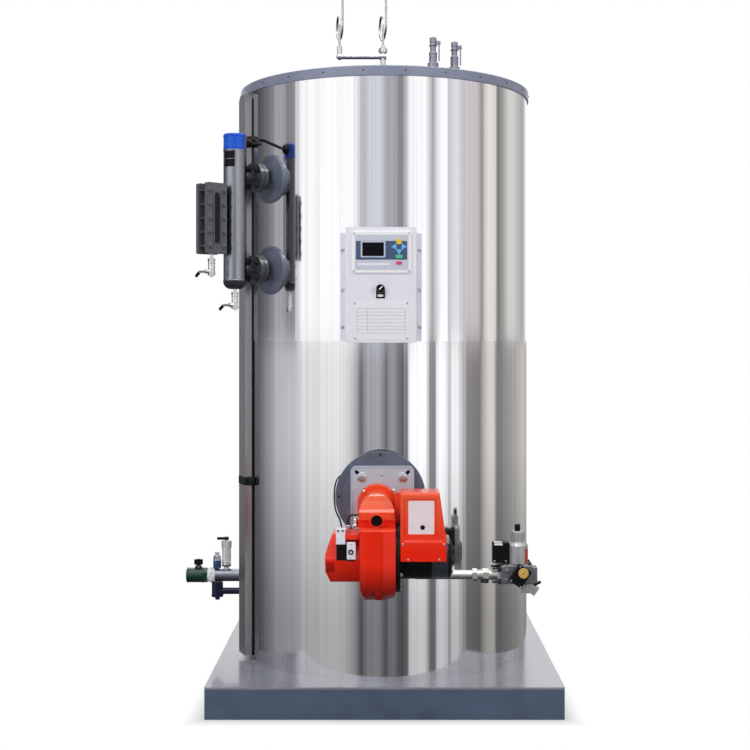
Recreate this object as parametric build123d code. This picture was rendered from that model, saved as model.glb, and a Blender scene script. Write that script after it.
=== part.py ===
from build123d import *
from math import cos, radians, sin, sqrt
import os

os.makedirs("parts", exist_ok=True)

# Millimetres. X to the right, the front towards -Y, Z up, the floor at Z 0.
# The boiler's own axis is the Z axis. What stands on the cladding is placed from SHELL_R.

# Cladding and top cover
SHELL_R = 600
SHEET_T = 2
LOWER_R = SHELL_R - SHEET_T
LAP_Z = 1400
LAP_H = 30
COVER_TOP = 2436
COVER_T = 6
RIM_R = SHELL_R + 6
RIM_H = 38

# Plinth
BASE_W = 2 * (SHELL_R + 67)
BASE_H = 112
DECK_T = 8
SIDE_W = 60
BEAM_W = 80
DECK_TOP = BASE_H + DECK_T

# Pipe sizes
DN25_PIPE_R, DN25_R, DN25_PCD, DN25_HOLE_R, DN25_T = 16.85, 57.5, 85, 7, 18
DN50_PIPE_R, DN50_R, DN50_PCD, DN50_HOLE_R, DN50_T = 30.15, 82.5, 125, 9, 20
DN50_BORE_R = 27.3
STEM_R = 4
STEM_GAP = 0.05

# Things on the top cover
LUG_X, LUG_Y = 400, 150
LUG_W, LUG_H, LUG_T, LUG_HOLE_R = 80, 80, 15, 16
FLUE_Y, FLUE_R, FLUE_WALL, FLUE_FOOT, FLUE_H = 130, 125, 4, 22, 105
STEAM_X, STEAM_Y, STEAM_H, STEAM_FLOOR = -250, 330, 140, 10

# Blowdown nozzle at the back
BLOWDOWN_Z, BLOWDOWN_FACE, BLOWDOWN_COLLAR_R = 215, SHELL_R + 60, 60

# Cable trunking on the left of the cladding
TRUNK_ANGLE, TRUNK_W, TRUNK_D, TRUNK_CUT = 65.7, 80, 30, 18
TRUNK_Z = (DECK_TOP + 20, COVER_TOP - RIM_H - 8)

# Level column and gauge, out along one radial line left of the front
LEVEL_ANGLE = 48
NOZZLE_Z = (1676, 2033)
JOINT_R = SHELL_R + 68
GASKET_T = 2
ESCUTCHEON_R, ESCUTCHEON_H = 95, 20
COLUMN_OUT, COLUMN_R, COLUMN_DISH = 169, 44.5, 28
COLUMN_AT = SHELL_R + COLUMN_OUT
COLUMN_Z = (NOZZLE_Z[0] - 77, NOZZLE_Z[1] + 94)
CAP_R, CAP_H = COLUMN_R - 0.5, 63
GAUGE_AT, GAUGE_W, GAUGE_H = COLUMN_AT + 107, 88, 265
GAUGE_MID = sum(NOZZLE_Z) / 2 + 6
CHAMBER_W, CHAMBER_T, PLATE_T, GLASS_T = 44, 38, 19, 12
WINDOW_W, WINDOW_H = 24, 192
STUB_R, STUB_NUT, STUB_IN = 11, 32, 33

# Drain cocks: each cock's radius and the height of its top
COCK_H, COCK_R, COCK_NUT, PIVOT_UP = 70, 13, 25, 20
COCKS = ((GAUGE_AT, GAUGE_MID - GAUGE_H / 2, 17), (COLUMN_AT, COLUMN_Z[0], 12))
LEVER_T, LEVER_W, LEVER_ARM, LEVER_GRIP, LEVER_RISE, LEVER_AT, GRIP_TURN = 3, 9, 26, 32, 11, 24, 31

# Control box on the front
BOX_X, BOX_Z, BOX_DEPTH, BOX_EDGE = (-143, 116), (1395, 1818), 114, 6
WING_T, WING_OUT, WING_IN_Z = 6, 23, (5, 13)
BOX_BACK = -(SHELL_R + WING_T)
BOX_FRONT = BOX_BACK - BOX_DEPTH
SCREEN_W, SCREEN_H, SCREEN_T, SCREEN_IN, SCREEN_DROP = 219, 154, 8, 23, 15
KNOB_R, KNOB_T, KNOB_IN, KNOB_DROP, KNOB_BOSS = 15.5, 16, 128.4, 225.6, 4

# Burner: mount ring, flange plate and head
RING_X, RING_Z, RING_R, RING_T, RING_STEP, RING_COLLAR = -15, 823, 168, 12, 6, 18
RING_FACE = -(SHELL_R + 40)
STEP_R = RING_R - 26
PLATE_X, PLATE_Z, PLATE_W, PLATE_TH, PLATE_EDGE, PLATE_LIP = -8, 820, 235, 12, 20, 3
PLATE_BACK = RING_FACE - RING_STEP
PLATE_FACE = PLATE_BACK - PLATE_TH
HEAD_MID, HEAD_W, HEAD_TOP, HEAD_FLOOR, HEAD_L = -28, 134, 875, 767, 196
HEAD_FRONT, HEAD_RIM_R, HEAD_RIM_T = PLATE_FACE - HEAD_L, 71, 36
DOME_IN, DOME_DROP, DOME_LIP_Z = 4, 22, 792
HEAD_RIGHT = HEAD_MID + HEAD_W / 2
PORT_R, PORT_BORE_R = 24.5, 20.5

# Burner: motor, fan and intake on one axis, with the gas riser behind the motor
MOTOR_R, MOTOR_L, BELL_L, MOTOR_FLANGE_T, MOTOR_FLANGE_R = 75, 112, 72, 17, 122
GAS_PIPE_R, GAS_GAP, MOTOR_GAP = 16.85, 3, 6
GAS_Y = PLATE_FACE - PLATE_LIP - GAS_GAP - GAS_PIPE_R
FAN_Y = GAS_Y - GAS_PIPE_R - MOTOR_GAP - MOTOR_R
FAN_Z = 621
SCROLL_R, SCROLL_W, SCROLL_EDGE, SCROLL_TAPER, SCROLL_FLAT = 133, 128, 22, 9, 84
SCROLL_Y, SCROLL_Z, SCROLL_TOP = FAN_Y - 6, FAN_Z - 16, 739
SCROLL_X = HEAD_RIGHT - SCROLL_W
SEAM_IN, SEAM_W, SEAM_H = 78, 3, 2
MOTOR_X = HEAD_RIGHT + MOTOR_FLANGE_T
DRUM_R, DRUM_L, DRUM_Z = 100, 121, FAN_Z + 8
SWITCH_IN, SWITCH_OUT, SWITCH_W, SWITCH_H, SWITCH_TOP_H, DIAL_BOX_W = 80, 14, 36, 49, 58, 28
COVER_W, COVER_TAPER, COVER_Z, COVER_RIDGE_Z = 161, 23, (627, 868), 703
COVER_FRONT, COVER_BACK, COVER_LIP, BRIDGE_TOP = FAN_Y - 110, FAN_Y + 8, 8, 850
BRIDGE_Y = (FAN_Y + MOTOR_R - 46, FAN_Y + MOTOR_R + MOTOR_GAP - 2)

# Gas train along the front right
GAS_Z, RISER_X, RISER_TOP, GAS_BEND = 540, HEAD_RIGHT + 53, 790, 30
GAS_PIPE_END = 323
UNION_L, UNION_NUT, UNION_R = 112, 41, 19
VALVE_L, VALVE_D, VALVE_DOWN, VALVE_UP = 105, 72, 30, 44
INLET_L, INLET_HOLE_R, INLET_DEPTH = 20, 15.1, 22
COIL_AT, COIL_R, COIL_H, CROWN_R, CROWN_H, COIL_KNOB_R, COIL_KNOB_H = 55, 38, 78, 25, 40, 10, 24

# Feed water on the left, out along -X from the cladding
FEED_Y, FEED_Z, FEED_PIPE_R, FEED_PIPE_L = 54, 395, 26.5, 125
FEED_UNION_R, FEED_UNION_L = 28, 31
FEED_VALVE_R, FEED_VALVE_L, FEED_VALVE_NUT, FEED_NUT_L, FEED_HOLE_R, FEED_DEPTH = 31, 91, 54, 16, 16, 25
STEM_IN = 50
CHECK_X, CHECK_R = -(SHELL_R + 117), 17
STRAINER_X, STRAINER_R, STRAINER_Z, STRAINER_H = -(SHELL_R + 116), 24, 303, 63
DRAIN_Z, DRAIN_R, DRAIN_L = 327, 14, 160
VENT_X, VENT_R, VENT_LEVER_L = -(SHELL_R + 77), 19, 40
PIPE_END = -(SHELL_R + FEED_PIPE_L)

# Pressure manifold, siphons and safety valves on the top cover
MANIFOLD_Y, MANIFOLD_UP, POST_X, ELBOW_X, POST_R = -200, 122, -6, -183, 10.5
MANIFOLD_Z = COVER_TOP + MANIFOLD_UP
SIPHON_R, SIPHON_H, LOOP_UP, LOOP_R, LOOP_SHIFT, LOOP_TURN = 4.5, 200, 87, 48.5, 12, 12
SIPHON_Z = MANIFOLD_Z + 42
LOOP_Z = SIPHON_Z + LOOP_UP
SIPHON_TOP = SIPHON_Z + SIPHON_H
DIAL_R, DIAL_T, DIAL_STEM = 50, 34, 30
SAFETY_AT = ((194, -296), (284, -219))
SAFETY_CAP_R, SAFETY_BODY_R, SAFETY_BASE_R, SAFETY_H = 14, 16, 22, 178
SAFETY_PIN_X, SAFETY_PIN_R, SAFETY_PIN_Z, SAFETY_LEVER_L = 24, 3, COVER_TOP + 156, 74

U = (-sin(radians(LEVEL_ANGLE)), -cos(radians(LEVEL_ANGLE)), 0)
T = (cos(radians(LEVEL_ANGLE)), -sin(radians(LEVEL_ANGLE)), 0)
RIGHT, BACK, UP = (1, 0, 0), (0, 1, 0), (0, 0, 1)


def spot(r, z, across=0):
    return (U[0] * r + T[0] * across, U[1] * r + T[1] * across, z)


def cyl(r, length, at, axis=UP):
    return extrude(Plane(origin=at, z_dir=axis) * Circle(r), length)


def hexagon(flats, length, at, axis=UP):
    face = RegularPolygon(flats / 2, 6, major_radius=False)
    return extrude(Plane(origin=at, z_dir=axis) * face, length)


def block(x, y, z):
    size = [b - a for a, b in (x, y, z)]
    middle = [(a + b) / 2 for a, b in (x, y, z)]
    return Pos(*middle) * Box(*size)


def turned(profile, at=(0, 0, 0), axis=UP):
    face = make_face(Polyline(*[(r, 0, h) for r, h in profile], close=True))
    return Plane(origin=at, z_dir=axis).location * revolve(face, Axis.Z)


def run_pipe(r, points, bend):
    path = FilletPolyline(*points, radius=bend)
    return sweep(Plane(origin=path @ 0, z_dir=path % 0) * Circle(r), path=path)


def flange(r, pcd, hole_r, length, at, axis):
    disc = Circle(r)
    for place in PolarLocations(pcd / 2, 4, 45):
        disc -= place * Circle(hole_r)
    return extrude(Plane(origin=at, z_dir=axis) * disc, length)


def shell_solid(r):
    return cyl(r, COVER_TOP - DECK_TOP, (0, 0, DECK_TOP))


def rounded(solid, axis, radius):
    return fillet(solid.edges().filter_by(axis), radius)


# Plinth of mitred box section with one cross beam under a deck plate

def base_frame():
    half = BASE_W / 2
    inner = half - SIDE_W
    frame = rounded(block((-half, half), (-half, half), (0, BASE_H)), Axis.Z, 4)
    frame -= block((-inner, inner), (-inner, inner), (0, BASE_H))
    return frame + block((-BEAM_W / 2, BEAM_W / 2), (-inner, inner), (0, BASE_H))


def base_deck():
    half = BASE_W / 2
    return rounded(block((-half, half), (-half, half), (BASE_H, DECK_TOP)), Axis.Z, 4)


# Cladding in two courses that lap, with a pressed top cover

def cladding_course(r, low, high):
    return cyl(r, high - low, (0, 0, low)) - cyl(r - SHEET_T, high - low, (0, 0, low))


def top_cover():
    cap = cyl(RIM_R, RIM_H, (0, 0, COVER_TOP - RIM_H))
    cap -= cyl(SHELL_R, RIM_H - COVER_T, (0, 0, COVER_TOP - RIM_H))
    return fillet(cap.edges().sort_by(Axis.Z)[-1], 4)


def lifting_lugs():
    lugs = []
    eye_z = COVER_TOP + LUG_H - LUG_W / 2
    for x in (-LUG_X, LUG_X):
        lug = block((x - LUG_W / 2, x + LUG_W / 2), (LUG_Y, LUG_Y + LUG_T), (COVER_TOP, eye_z))
        lug += cyl(LUG_W / 2, LUG_T, (x, LUG_Y, eye_z), BACK)
        lugs.append(lug - cyl(LUG_HOLE_R, LUG_T, (x, LUG_Y, eye_z), BACK))
    return Compound(lugs)


def flue_collar():
    at = (0, FLUE_Y, COVER_TOP)
    outer = FLUE_R + FLUE_WALL
    collar = cyl(outer, FLUE_H, at) + cyl(outer + FLUE_FOOT, FLUE_WALL, at)
    return collar - cyl(FLUE_R, FLUE_H, (0, FLUE_Y, COVER_TOP + COVER_T))


def steam_outlet():
    top = (STEAM_X, STEAM_Y, COVER_TOP + STEAM_H - DN50_T)
    body = cyl(DN50_PIPE_R, STEAM_H, (STEAM_X, STEAM_Y, COVER_TOP))
    body += flange(DN50_R, DN50_PCD, DN50_HOLE_R, DN50_T, top, UP)
    return body - cyl(DN50_BORE_R, STEAM_H, (STEAM_X, STEAM_Y, COVER_TOP + STEAM_FLOOR))


def blowdown_nozzle():
    back = LOWER_R - 40
    body = cyl(DN25_PIPE_R, BLOWDOWN_FACE - back, (0, back, BLOWDOWN_Z), BACK)
    body += cyl(BLOWDOWN_COLLAR_R, SHELL_R + 5 - back, (0, back, BLOWDOWN_Z), BACK)
    body -= shell_solid(LOWER_R)
    face = (0, BLOWDOWN_FACE - DN25_T, BLOWDOWN_Z)
    return body + flange(DN25_R, DN25_PCD, DN25_HOLE_R, DN25_T, face, BACK)


def cable_trunking():
    out = (-sin(radians(TRUNK_ANGLE)), -cos(radians(TRUNK_ANGLE)), 0)
    across = (cos(radians(TRUNK_ANGLE)), -sin(radians(TRUNK_ANGLE)), 0)
    half, (low, high) = TRUNK_W / 2, TRUNK_Z
    face = make_face(Polyline((-half, low), (half, low), (half, high), (TRUNK_CUT - half, high),
                              (-half, high - TRUNK_CUT), close=True))
    plane = Plane(origin=tuple(c * SHELL_R for c in out), x_dir=across, z_dir=out)
    return extrude(plane * face, TRUNK_D)


# Level column and gauge with their drain cocks

def column_solid():
    return cyl(COLUMN_R, COLUMN_Z[1] - COLUMN_Z[0], spot(COLUMN_AT, COLUMN_Z[0]))


def level_column():
    return fillet(column_solid().edges().sort_by(Axis.Z)[0], COLUMN_DISH)


def level_nozzles():
    inner, disc_t = SHELL_R - 30, DN25_T - GASKET_T / 2
    nozzles = []
    for z in NOZZLE_Z:
        body = cyl(DN25_PIPE_R, COLUMN_AT - inner, spot(inner, z), U)
        body += cyl(DN25_R, disc_t, spot(JOINT_R - DN25_T, z), U)
        body += cyl(DN25_PCD / 2 - DN25_HOLE_R, GASKET_T, spot(JOINT_R - GASKET_T / 2, z), U)
        body += cyl(DN25_R, disc_t, spot(JOINT_R + GASKET_T / 2, z), U)
        nozzles.append(body - shell_solid(SHELL_R) - column_solid())
    return Compound(nozzles)


def level_escutcheons():
    discs = []
    hub = 2 * DN25_PIPE_R
    for z in NOZZLE_Z:
        disc = turned([(0, -30), (ESCUTCHEON_R, -30), (ESCUTCHEON_R, 3), (ESCUTCHEON_R - 7, 8),
                       (hub, ESCUTCHEON_H), (0, ESCUTCHEON_H)], spot(SHELL_R, z), U)
        pipe = cyl(DN25_PIPE_R, SHELL_R, spot(SHELL_R - ESCUTCHEON_R, z), U)
        discs.append(disc - shell_solid(SHELL_R) - pipe)
    return Compound(discs)


def electrode_cap():
    cap = cyl(CAP_R, CAP_H, spot(COLUMN_AT, COLUMN_Z[1]))
    return fillet(cap.edges().sort_by(Axis.Z)[-1], 5)


def gauge_plane(across):
    return Plane(origin=spot(GAUGE_AT, GAUGE_MID, across), x_dir=U, z_dir=T)


def gauge_body():
    window = SlotOverall(WINDOW_H, WINDOW_W, rotation=90)
    body = extrude(gauge_plane(-CHAMBER_T / 2) * (Rectangle(CHAMBER_W, GAUGE_H) - window), CHAMBER_T)
    reach = GAUGE_AT - COLUMN_AT - CHAMBER_W / 2
    for z in (GAUGE_MID - GAUGE_H / 2 + STUB_IN, GAUGE_MID + GAUGE_H / 2 - STUB_IN):
        body += cyl(STUB_R, reach, spot(COLUMN_AT, z), U)
        body += hexagon(STUB_NUT, 12, spot(COLUMN_AT + reach - 24, z), U)
    return body - column_solid()


def gauge_covers():
    face = RectangleRounded(GAUGE_W, GAUGE_H, 6) - SlotOverall(WINDOW_H, WINDOW_W, rotation=90)
    return Compound([extrude(gauge_plane(low) * face, PLATE_T)
                     for low in (CHAMBER_T / 2, -CHAMBER_T / 2 - PLATE_T)])


def gauge_glass():
    face = SlotOverall(WINDOW_H, WINDOW_W, rotation=90)
    return Compound([extrude(gauge_plane(low) * face, GLASS_T)
                     for low in (CHAMBER_T / 2, -CHAMBER_T / 2 - GLASS_T)])


def drain_cocks():
    cocks = []
    for r, seat, nipple in COCKS:
        low = seat - nipple - COCK_H
        pivot = spot(r, low + PIVOT_UP)
        body = cyl(COCK_R / 2, COCK_H + nipple, spot(r, low))
        body += hexagon(COCK_NUT, 12, spot(r, low + COCK_H - 12))
        body += cyl(COCK_R, COCK_H - 24, spot(r, low + 12))
        body += hexagon(COCK_NUT, 12, spot(r, low + 6))
        body += cyl(7, LEVER_AT - 4, pivot, U)
        cocks.append(body + cyl(STEM_R, LEVER_AT + 7, pivot, U))
    return Compound(cocks)


def cock_lever(r, seat, nipple):
    plane = Plane(origin=spot(r, seat - nipple - COCK_H + PIVOT_UP), x_dir=(-T[0], -T[1], 0), z_dir=U)
    half, near, far = LEVER_W / 2, LEVER_AT, LEVER_AT + LEVER_T + LEVER_RISE
    lever = block((0, LEVER_ARM), (-half, half), (near, near + LEVER_T))
    lever += block((LEVER_ARM - LEVER_T, LEVER_ARM), (-half, half), (near, far))
    grip = block((0, LEVER_GRIP), (-half, half), (far - LEVER_T, far))
    lever += Pos(LEVER_ARM - LEVER_T, 0, 0) * Rot(0, 0, GRIP_TURN) * grip
    lever += cyl(2 * STEM_R, LEVER_T, (0, 0, near))
    return plane.location * (lever - cyl(STEM_R + STEM_GAP, LEVER_T, (0, 0, near)))


# Control box with its back plate, screen frame and selector

def control_box():
    x0, x1 = BOX_X
    z0, z1 = BOX_Z
    box = rounded(block(BOX_X, (BOX_FRONT, BOX_BACK), BOX_Z), Axis.Y, BOX_EDGE)
    box += block((x0 - WING_OUT, x1 + WING_OUT), (BOX_BACK, -SHELL_R),
                 (z0 + WING_IN_Z[0], z1 - WING_IN_Z[1]))
    for z in (z0 + 45, z1 - 75):
        strap = block((x0 + 33, x1 - 32), (-SHELL_R, 60 - SHELL_R), (z, z + 30))
        box += strap - shell_solid(SHELL_R)
    at = (x0 + KNOB_IN, BOX_FRONT - KNOB_BOSS, z1 - KNOB_DROP)
    box += cyl(KNOB_R, KNOB_BOSS, at, BACK)
    return box - cyl(STEM_R + STEM_GAP, 24, at, BACK)


def control_screen_panel():
    x, z = BOX_X[0] + SCREEN_IN, BOX_Z[1] - SCREEN_DROP
    panel = block((x, x + SCREEN_W), (BOX_FRONT - SCREEN_T, BOX_FRONT), (z - SCREEN_H, z))
    panel = rounded(panel, Axis.Y, 12)
    return fillet(panel.faces().sort_by(Axis.Y)[0].edges(), 3)


def selector_knob():
    x, y, z = BOX_X[0] + KNOB_IN, BOX_FRONT - KNOB_BOSS - 0.5, BOX_Z[1] - KNOB_DROP
    knob = cyl(KNOB_R - 1, KNOB_T, (x, y - KNOB_T, z), BACK)
    return knob + cyl(STEM_R, 16, (x, y, z), BACK)


# Burner

def burner_mount_ring():
    at = (RING_X, RING_FACE, RING_Z)
    ring = cyl(RING_R, RING_T, at, BACK) + cyl(STEP_R, RING_STEP, (RING_X, PLATE_BACK, RING_Z), BACK)
    return ring + (cyl(RING_R - RING_COLLAR, RING_R, at, BACK) - shell_solid(LOWER_R))


def plate_face(inset):
    return RectangleRounded(PLATE_W - 2 * inset, PLATE_W - 2 * inset, PLATE_EDGE - inset)


def burner_flange():
    plane = Plane(origin=(PLATE_X, PLATE_BACK, PLATE_Z), x_dir=RIGHT, z_dir=(0, -1, 0))
    plate = extrude(plane * plate_face(0), PLATE_TH + PLATE_LIP)
    plate -= extrude(plane.offset(PLATE_TH) * plate_face(5), PLATE_LIP)
    slots = PolarLocations(PLATE_W * 0.52, 4, 45)
    for slot in slots:
        plate -= extrude(plane.offset(PLATE_TH - 4) * slot * SlotOverall(40, 13), 4)
    return plate


def head_arch(r, top, front, back):
    arch = cyl(r, back - front, (HEAD_MID, front, top - r), BACK)
    arch += block((HEAD_MID - r, HEAD_MID + r), (front, back), (HEAD_FLOOR, top - r))
    return arch - block((HEAD_MID - r, HEAD_MID + r), (front, back), (top - 2 * r, HEAD_FLOOR))


def burner_head_housing():
    rim_face, top = PLATE_FACE - HEAD_RIM_T, HEAD_TOP - DOME_DROP
    rim = head_arch(HEAD_RIM_R, HEAD_TOP, rim_face, PLATE_FACE)
    rim = fillet(rim.faces().sort_by(Axis.Y)[0].edges().sort_by(Axis.Z)[1:], 6)
    start, end = (HEAD_FRONT, DOME_LIP_Z), (rim_face, top + 1)
    slope = ThreePointArc(start, (HEAD_FRONT + 50, top - 13), end)
    edges = Polyline(end, (PLATE_FACE, top + 1), (PLATE_FACE, HEAD_FLOOR), (HEAD_FRONT, HEAD_FLOOR), start)
    side = Plane.YZ * make_face([slope, *edges.edges()])
    dome = head_arch(HEAD_W / 2 - DOME_IN, top, HEAD_FRONT, PLATE_FACE)
    dome &= Pos(HEAD_MID - HEAD_W, 0, 0) * extrude(side, 2 * HEAD_W, dir=RIGHT)
    left = HEAD_MID - HEAD_W / 2
    head = rim + dome
    head += block((left, HEAD_RIGHT), (HEAD_FRONT + 14, PLATE_FACE - 12), (SCROLL_TOP, HEAD_FLOOR))
    port = (HEAD_MID, HEAD_FRONT - 6, HEAD_FLOOR - 3)
    return head + cyl(PORT_R, 30, port, BACK) - cyl(PORT_BORE_R, 16, port, BACK)


def fan_volute():
    r, flat, right_r = SCROLL_R, SCROLL_FLAT, SCROLL_R - SCROLL_TAPER
    scroll = turned([(0, 0), (r, 0), (r, flat), (right_r, SCROLL_W), (0, SCROLL_W)],
                    (SCROLL_X, SCROLL_Y, SCROLL_Z), RIGHT)
    scroll = fillet(scroll.edges().sort_by(Axis.X)[0], SCROLL_EDGE)
    outline = make_face(Polyline((SCROLL_X, PLATE_FACE - 12), (SCROLL_X, SCROLL_Y - r),
                                 (SCROLL_X + flat, SCROLL_Y - r), (HEAD_RIGHT, SCROLL_Y - right_r),
                                 (HEAD_RIGHT, PLATE_FACE - 12), close=True))
    throat = extrude(Pos(0, 0, SCROLL_Z) * outline, SCROLL_TOP - SCROLL_Z)
    throat = fillet(throat.edges().filter_by(Axis.Z).sort_by(Axis.Y)[0:1], SCROLL_EDGE)
    throat = fillet(throat.faces().sort_by(Axis.Z)[-1].edges().sort_by(Axis.Y)[0:2], 6)
    seam_x, seam_r = SCROLL_X + SEAM_IN, r + SEAM_H
    scroll += cyl(seam_r, SEAM_W, (seam_x, SCROLL_Y, SCROLL_Z), RIGHT)
    throat += block((seam_x, seam_x + SEAM_W), (SCROLL_Y - seam_r, SCROLL_Y), (SCROLL_Z, SCROLL_TOP - 6))
    over = block((SCROLL_X, HEAD_RIGHT), (SCROLL_Y - seam_r, SCROLL_Y + seam_r),
                 (SCROLL_TOP, SCROLL_Z + seam_r))
    lug = block((SCROLL_X + 56, SCROLL_X + 82), (SCROLL_Y - 0.78 * r, SCROLL_Y),
                (SCROLL_Z - 0.86 * r, SCROLL_Z - 0.6 * r))
    return scroll - over + throat + lug


def air_intake():
    x0, x1 = SCROLL_X - DRUM_L, SCROLL_X
    plane = Plane(origin=(x0, FAN_Y, DRUM_Z), x_dir=BACK, z_dir=RIGHT)
    drum = rounded(extrude(plane * RegularPolygon(DRUM_R, 6), DRUM_L), Axis.X, 8)
    low, high = DRUM_Z - DRUM_R, DRUM_Z + DRUM_R
    outline = make_face(Plane.XZ * Polyline((x0 + 23, low), (x1, low), (x1, high), (x0 + 30, high),
                                            (x0, DRUM_Z + 18), (x0, DRUM_Z - 45), close=True))
    drum &= Pos(0, FAN_Y - DRUM_R, 0) * extrude(outline, 2 * DRUM_R, dir=BACK)
    return drum - block((x0 + 6, x0 + 32), (FAN_Y - DRUM_R, FAN_Y - DRUM_R + 45),
                        (DRUM_Z - 47, DRUM_Z - 9))


def air_pressure_switch():
    x, front, z = SCROLL_X - SWITCH_IN, FAN_Y - DRUM_R - SWITCH_OUT, FAN_Z + 11
    back, dial_x, top = FAN_Y - 30, x + SWITCH_W, z + SWITCH_H
    switch = block((x, dial_x), (front, back), (z, top))
    switch += block((dial_x, dial_x + DIAL_BOX_W), (front - 2, back), (z - 3, top + 4))
    switch += block((x - 1, x + 30), (front + 8, back + 10), (top, top + SWITCH_TOP_H))
    return switch - air_intake()


def burner_control_cover():
    x0, x1 = MOTOR_X, MOTOR_X + COVER_W
    (z0, z1), ridge = COVER_Z, COVER_RIDGE_Z
    outline = make_face(Plane.XZ * Polyline((x0, z0), (x1, z0), (x1, ridge), (x1 - COVER_TAPER, z1),
                                            (x0, z1), close=True))
    cover = Pos(0, COVER_FRONT, 0) * extrude(outline, COVER_BACK - COVER_FRONT, dir=BACK)
    cover -= block((x0 + 12, x1 - COVER_TAPER - 12), (COVER_FRONT, COVER_FRONT + 5),
                   (ridge + 10, z1 - 22))
    cover = fillet(cover.faces().sort_by(Axis.Z)[-1].edges().sort_by(Axis.Y)[0], 12)
    lip = COVER_FRONT - COVER_LIP
    for start, end, rise in ((x0, x1, 0), (x0, x0 + 12, 22), (x1 - 12, x1, 22)):
        side = make_face(Plane.YZ * Polyline((COVER_FRONT, z0), (lip, z0), (lip, ridge - 9),
                                             (COVER_FRONT, ridge + rise), close=True))
        cover += Pos(start, 0, 0) * extrude(side, end - start, dir=RIGHT)
    cover += block((HEAD_RIGHT, x0 + 60), BRIDGE_Y, (SCROLL_TOP + 5, BRIDGE_TOP))
    cover += block((HEAD_RIGHT - DOME_IN, HEAD_RIGHT), BRIDGE_Y, (HEAD_FLOOR, BRIDGE_TOP))
    cover += block((x0 + 12, x0 + 60), (COVER_BACK - 1, BRIDGE_Y[0] + 1), (SCROLL_TOP + 5, BRIDGE_TOP))
    return cover - cyl(MOTOR_R + 2, 2 * COVER_W, (HEAD_RIGHT, FAN_Y, FAN_Z), RIGHT)


def fan_motor():
    motor = cyl(MOTOR_FLANGE_R, MOTOR_FLANGE_T, (HEAD_RIGHT, FAN_Y, FAN_Z), RIGHT)
    motor += cyl(MOTOR_R, MOTOR_L, (MOTOR_X, FAN_Y, FAN_Z), RIGHT)
    bell = cyl(MOTOR_R - 2, BELL_L, (MOTOR_X + MOTOR_L, FAN_Y, FAN_Z), RIGHT)
    return motor + fillet(bell.edges().sort_by(Axis.X)[-1], 14)


# Gas train

def gas_pipe():
    corners = [(HEAD_MID + HEAD_RIM_R, GAS_Y, RISER_TOP), (RISER_X, GAS_Y, RISER_TOP),
               (RISER_X, GAS_Y, GAS_Z), (GAS_PIPE_END, GAS_Y, GAS_Z)]
    return run_pipe(GAS_PIPE_R, corners, GAS_BEND)


def gas_union():
    x = GAS_PIPE_END
    union = cyl(UNION_R, UNION_L, (x, GAS_Y, GAS_Z), RIGHT)
    for start, length in ((0, 17), (38, 22), (92, 20)):
        union += hexagon(UNION_NUT, length, (x + start, GAS_Y, GAS_Z), RIGHT)
    return union + cyl(8, 36, (x + 45, GAS_Y, GAS_Z - 36))


def gas_valve():
    x0 = GAS_PIPE_END + UNION_L
    x1 = x0 + VALVE_L
    half = VALVE_D / 2
    body = block((x0, x1), (GAS_Y - half, GAS_Y + half), (GAS_Z - VALVE_DOWN, GAS_Z + VALVE_UP))
    body = rounded(body, Axis.X, 10)
    body += block((x1, x1 + INLET_L), (GAS_Y - half + 8, GAS_Y + half - 8),
                  (GAS_Z - VALVE_DOWN + 4, GAS_Z + VALVE_DOWN))
    end = x1 + INLET_L - INLET_DEPTH
    return body - cyl(INLET_HOLE_R, INLET_DEPTH, (end, GAS_Y, GAS_Z), RIGHT)


def gas_solenoid():
    top, knob = COIL_H + CROWN_H, COIL_H + CROWN_H + COIL_KNOB_H
    return turned([(0, 0), (COIL_R, 0), (COIL_R, COIL_H - 12), (CROWN_R + 3, COIL_H), (CROWN_R, COIL_H),
                   (CROWN_R, top - 2), (CROWN_R - 2, top), (COIL_KNOB_R, top), (COIL_KNOB_R, knob),
                   (0, knob)], (GAS_PIPE_END + UNION_L + COIL_AT, GAS_Y, GAS_Z + VALVE_UP))


def gas_connector():
    coil_x = GAS_PIPE_END + UNION_L + COIL_AT
    z = GAS_Z + VALVE_UP
    plug = block((coil_x - COIL_R - 55, coil_x - COIL_R + 12), (GAS_Y - 22, GAS_Y + 22), (z + 3, z + 76))
    plug = rounded(plug, Axis.Z, 4)
    return plug - cyl(COIL_R, 2 * COIL_H, (coil_x, GAS_Y, z))


def gas_pressure_switch():
    x, y = GAS_PIPE_END + UNION_L + 59, GAS_Y - VALVE_D / 2
    switch = Pos(x, y - 16, GAS_Z + 5) * Rot(0, 34, 0) * Box(52, 32, 70)
    return switch + cyl(19, 6, (x + 10, y - 38, GAS_Z + 19), BACK) - gas_solenoid()


def gas_regulator():
    x, low = GAS_PIPE_END + UNION_L + 85, GAS_Z - VALVE_DOWN
    body = Pos(x + 19, GAS_Y, low - 17) * Rot(0, 34, 0) * Box(46, 50, 34)
    body += cyl(17, 36, (x, GAS_Y, low - 36))
    return body - block((x - 60, x + 60), (GAS_Y - VALVE_D, GAS_Y + VALVE_D), (low, low + 60))


# Feed water group

def feed_run():
    return cyl(FEED_PIPE_R, FEED_PIPE_L + 40, (PIPE_END, FEED_Y, FEED_Z), RIGHT)


def feed_pipe():
    top = STRAINER_Z + STRAINER_H
    pipe = feed_run() + cyl(STRAINER_R / 2, FEED_Z - top, (STRAINER_X + 5, FEED_Y, top))
    return pipe - shell_solid(LOWER_R)


def feed_union():
    return cyl(FEED_UNION_R, FEED_UNION_L, (PIPE_END - FEED_UNION_L, FEED_Y, FEED_Z), RIGHT)


def stop_valve_x():
    return PIPE_END - FEED_UNION_L - FEED_VALVE_L


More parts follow.
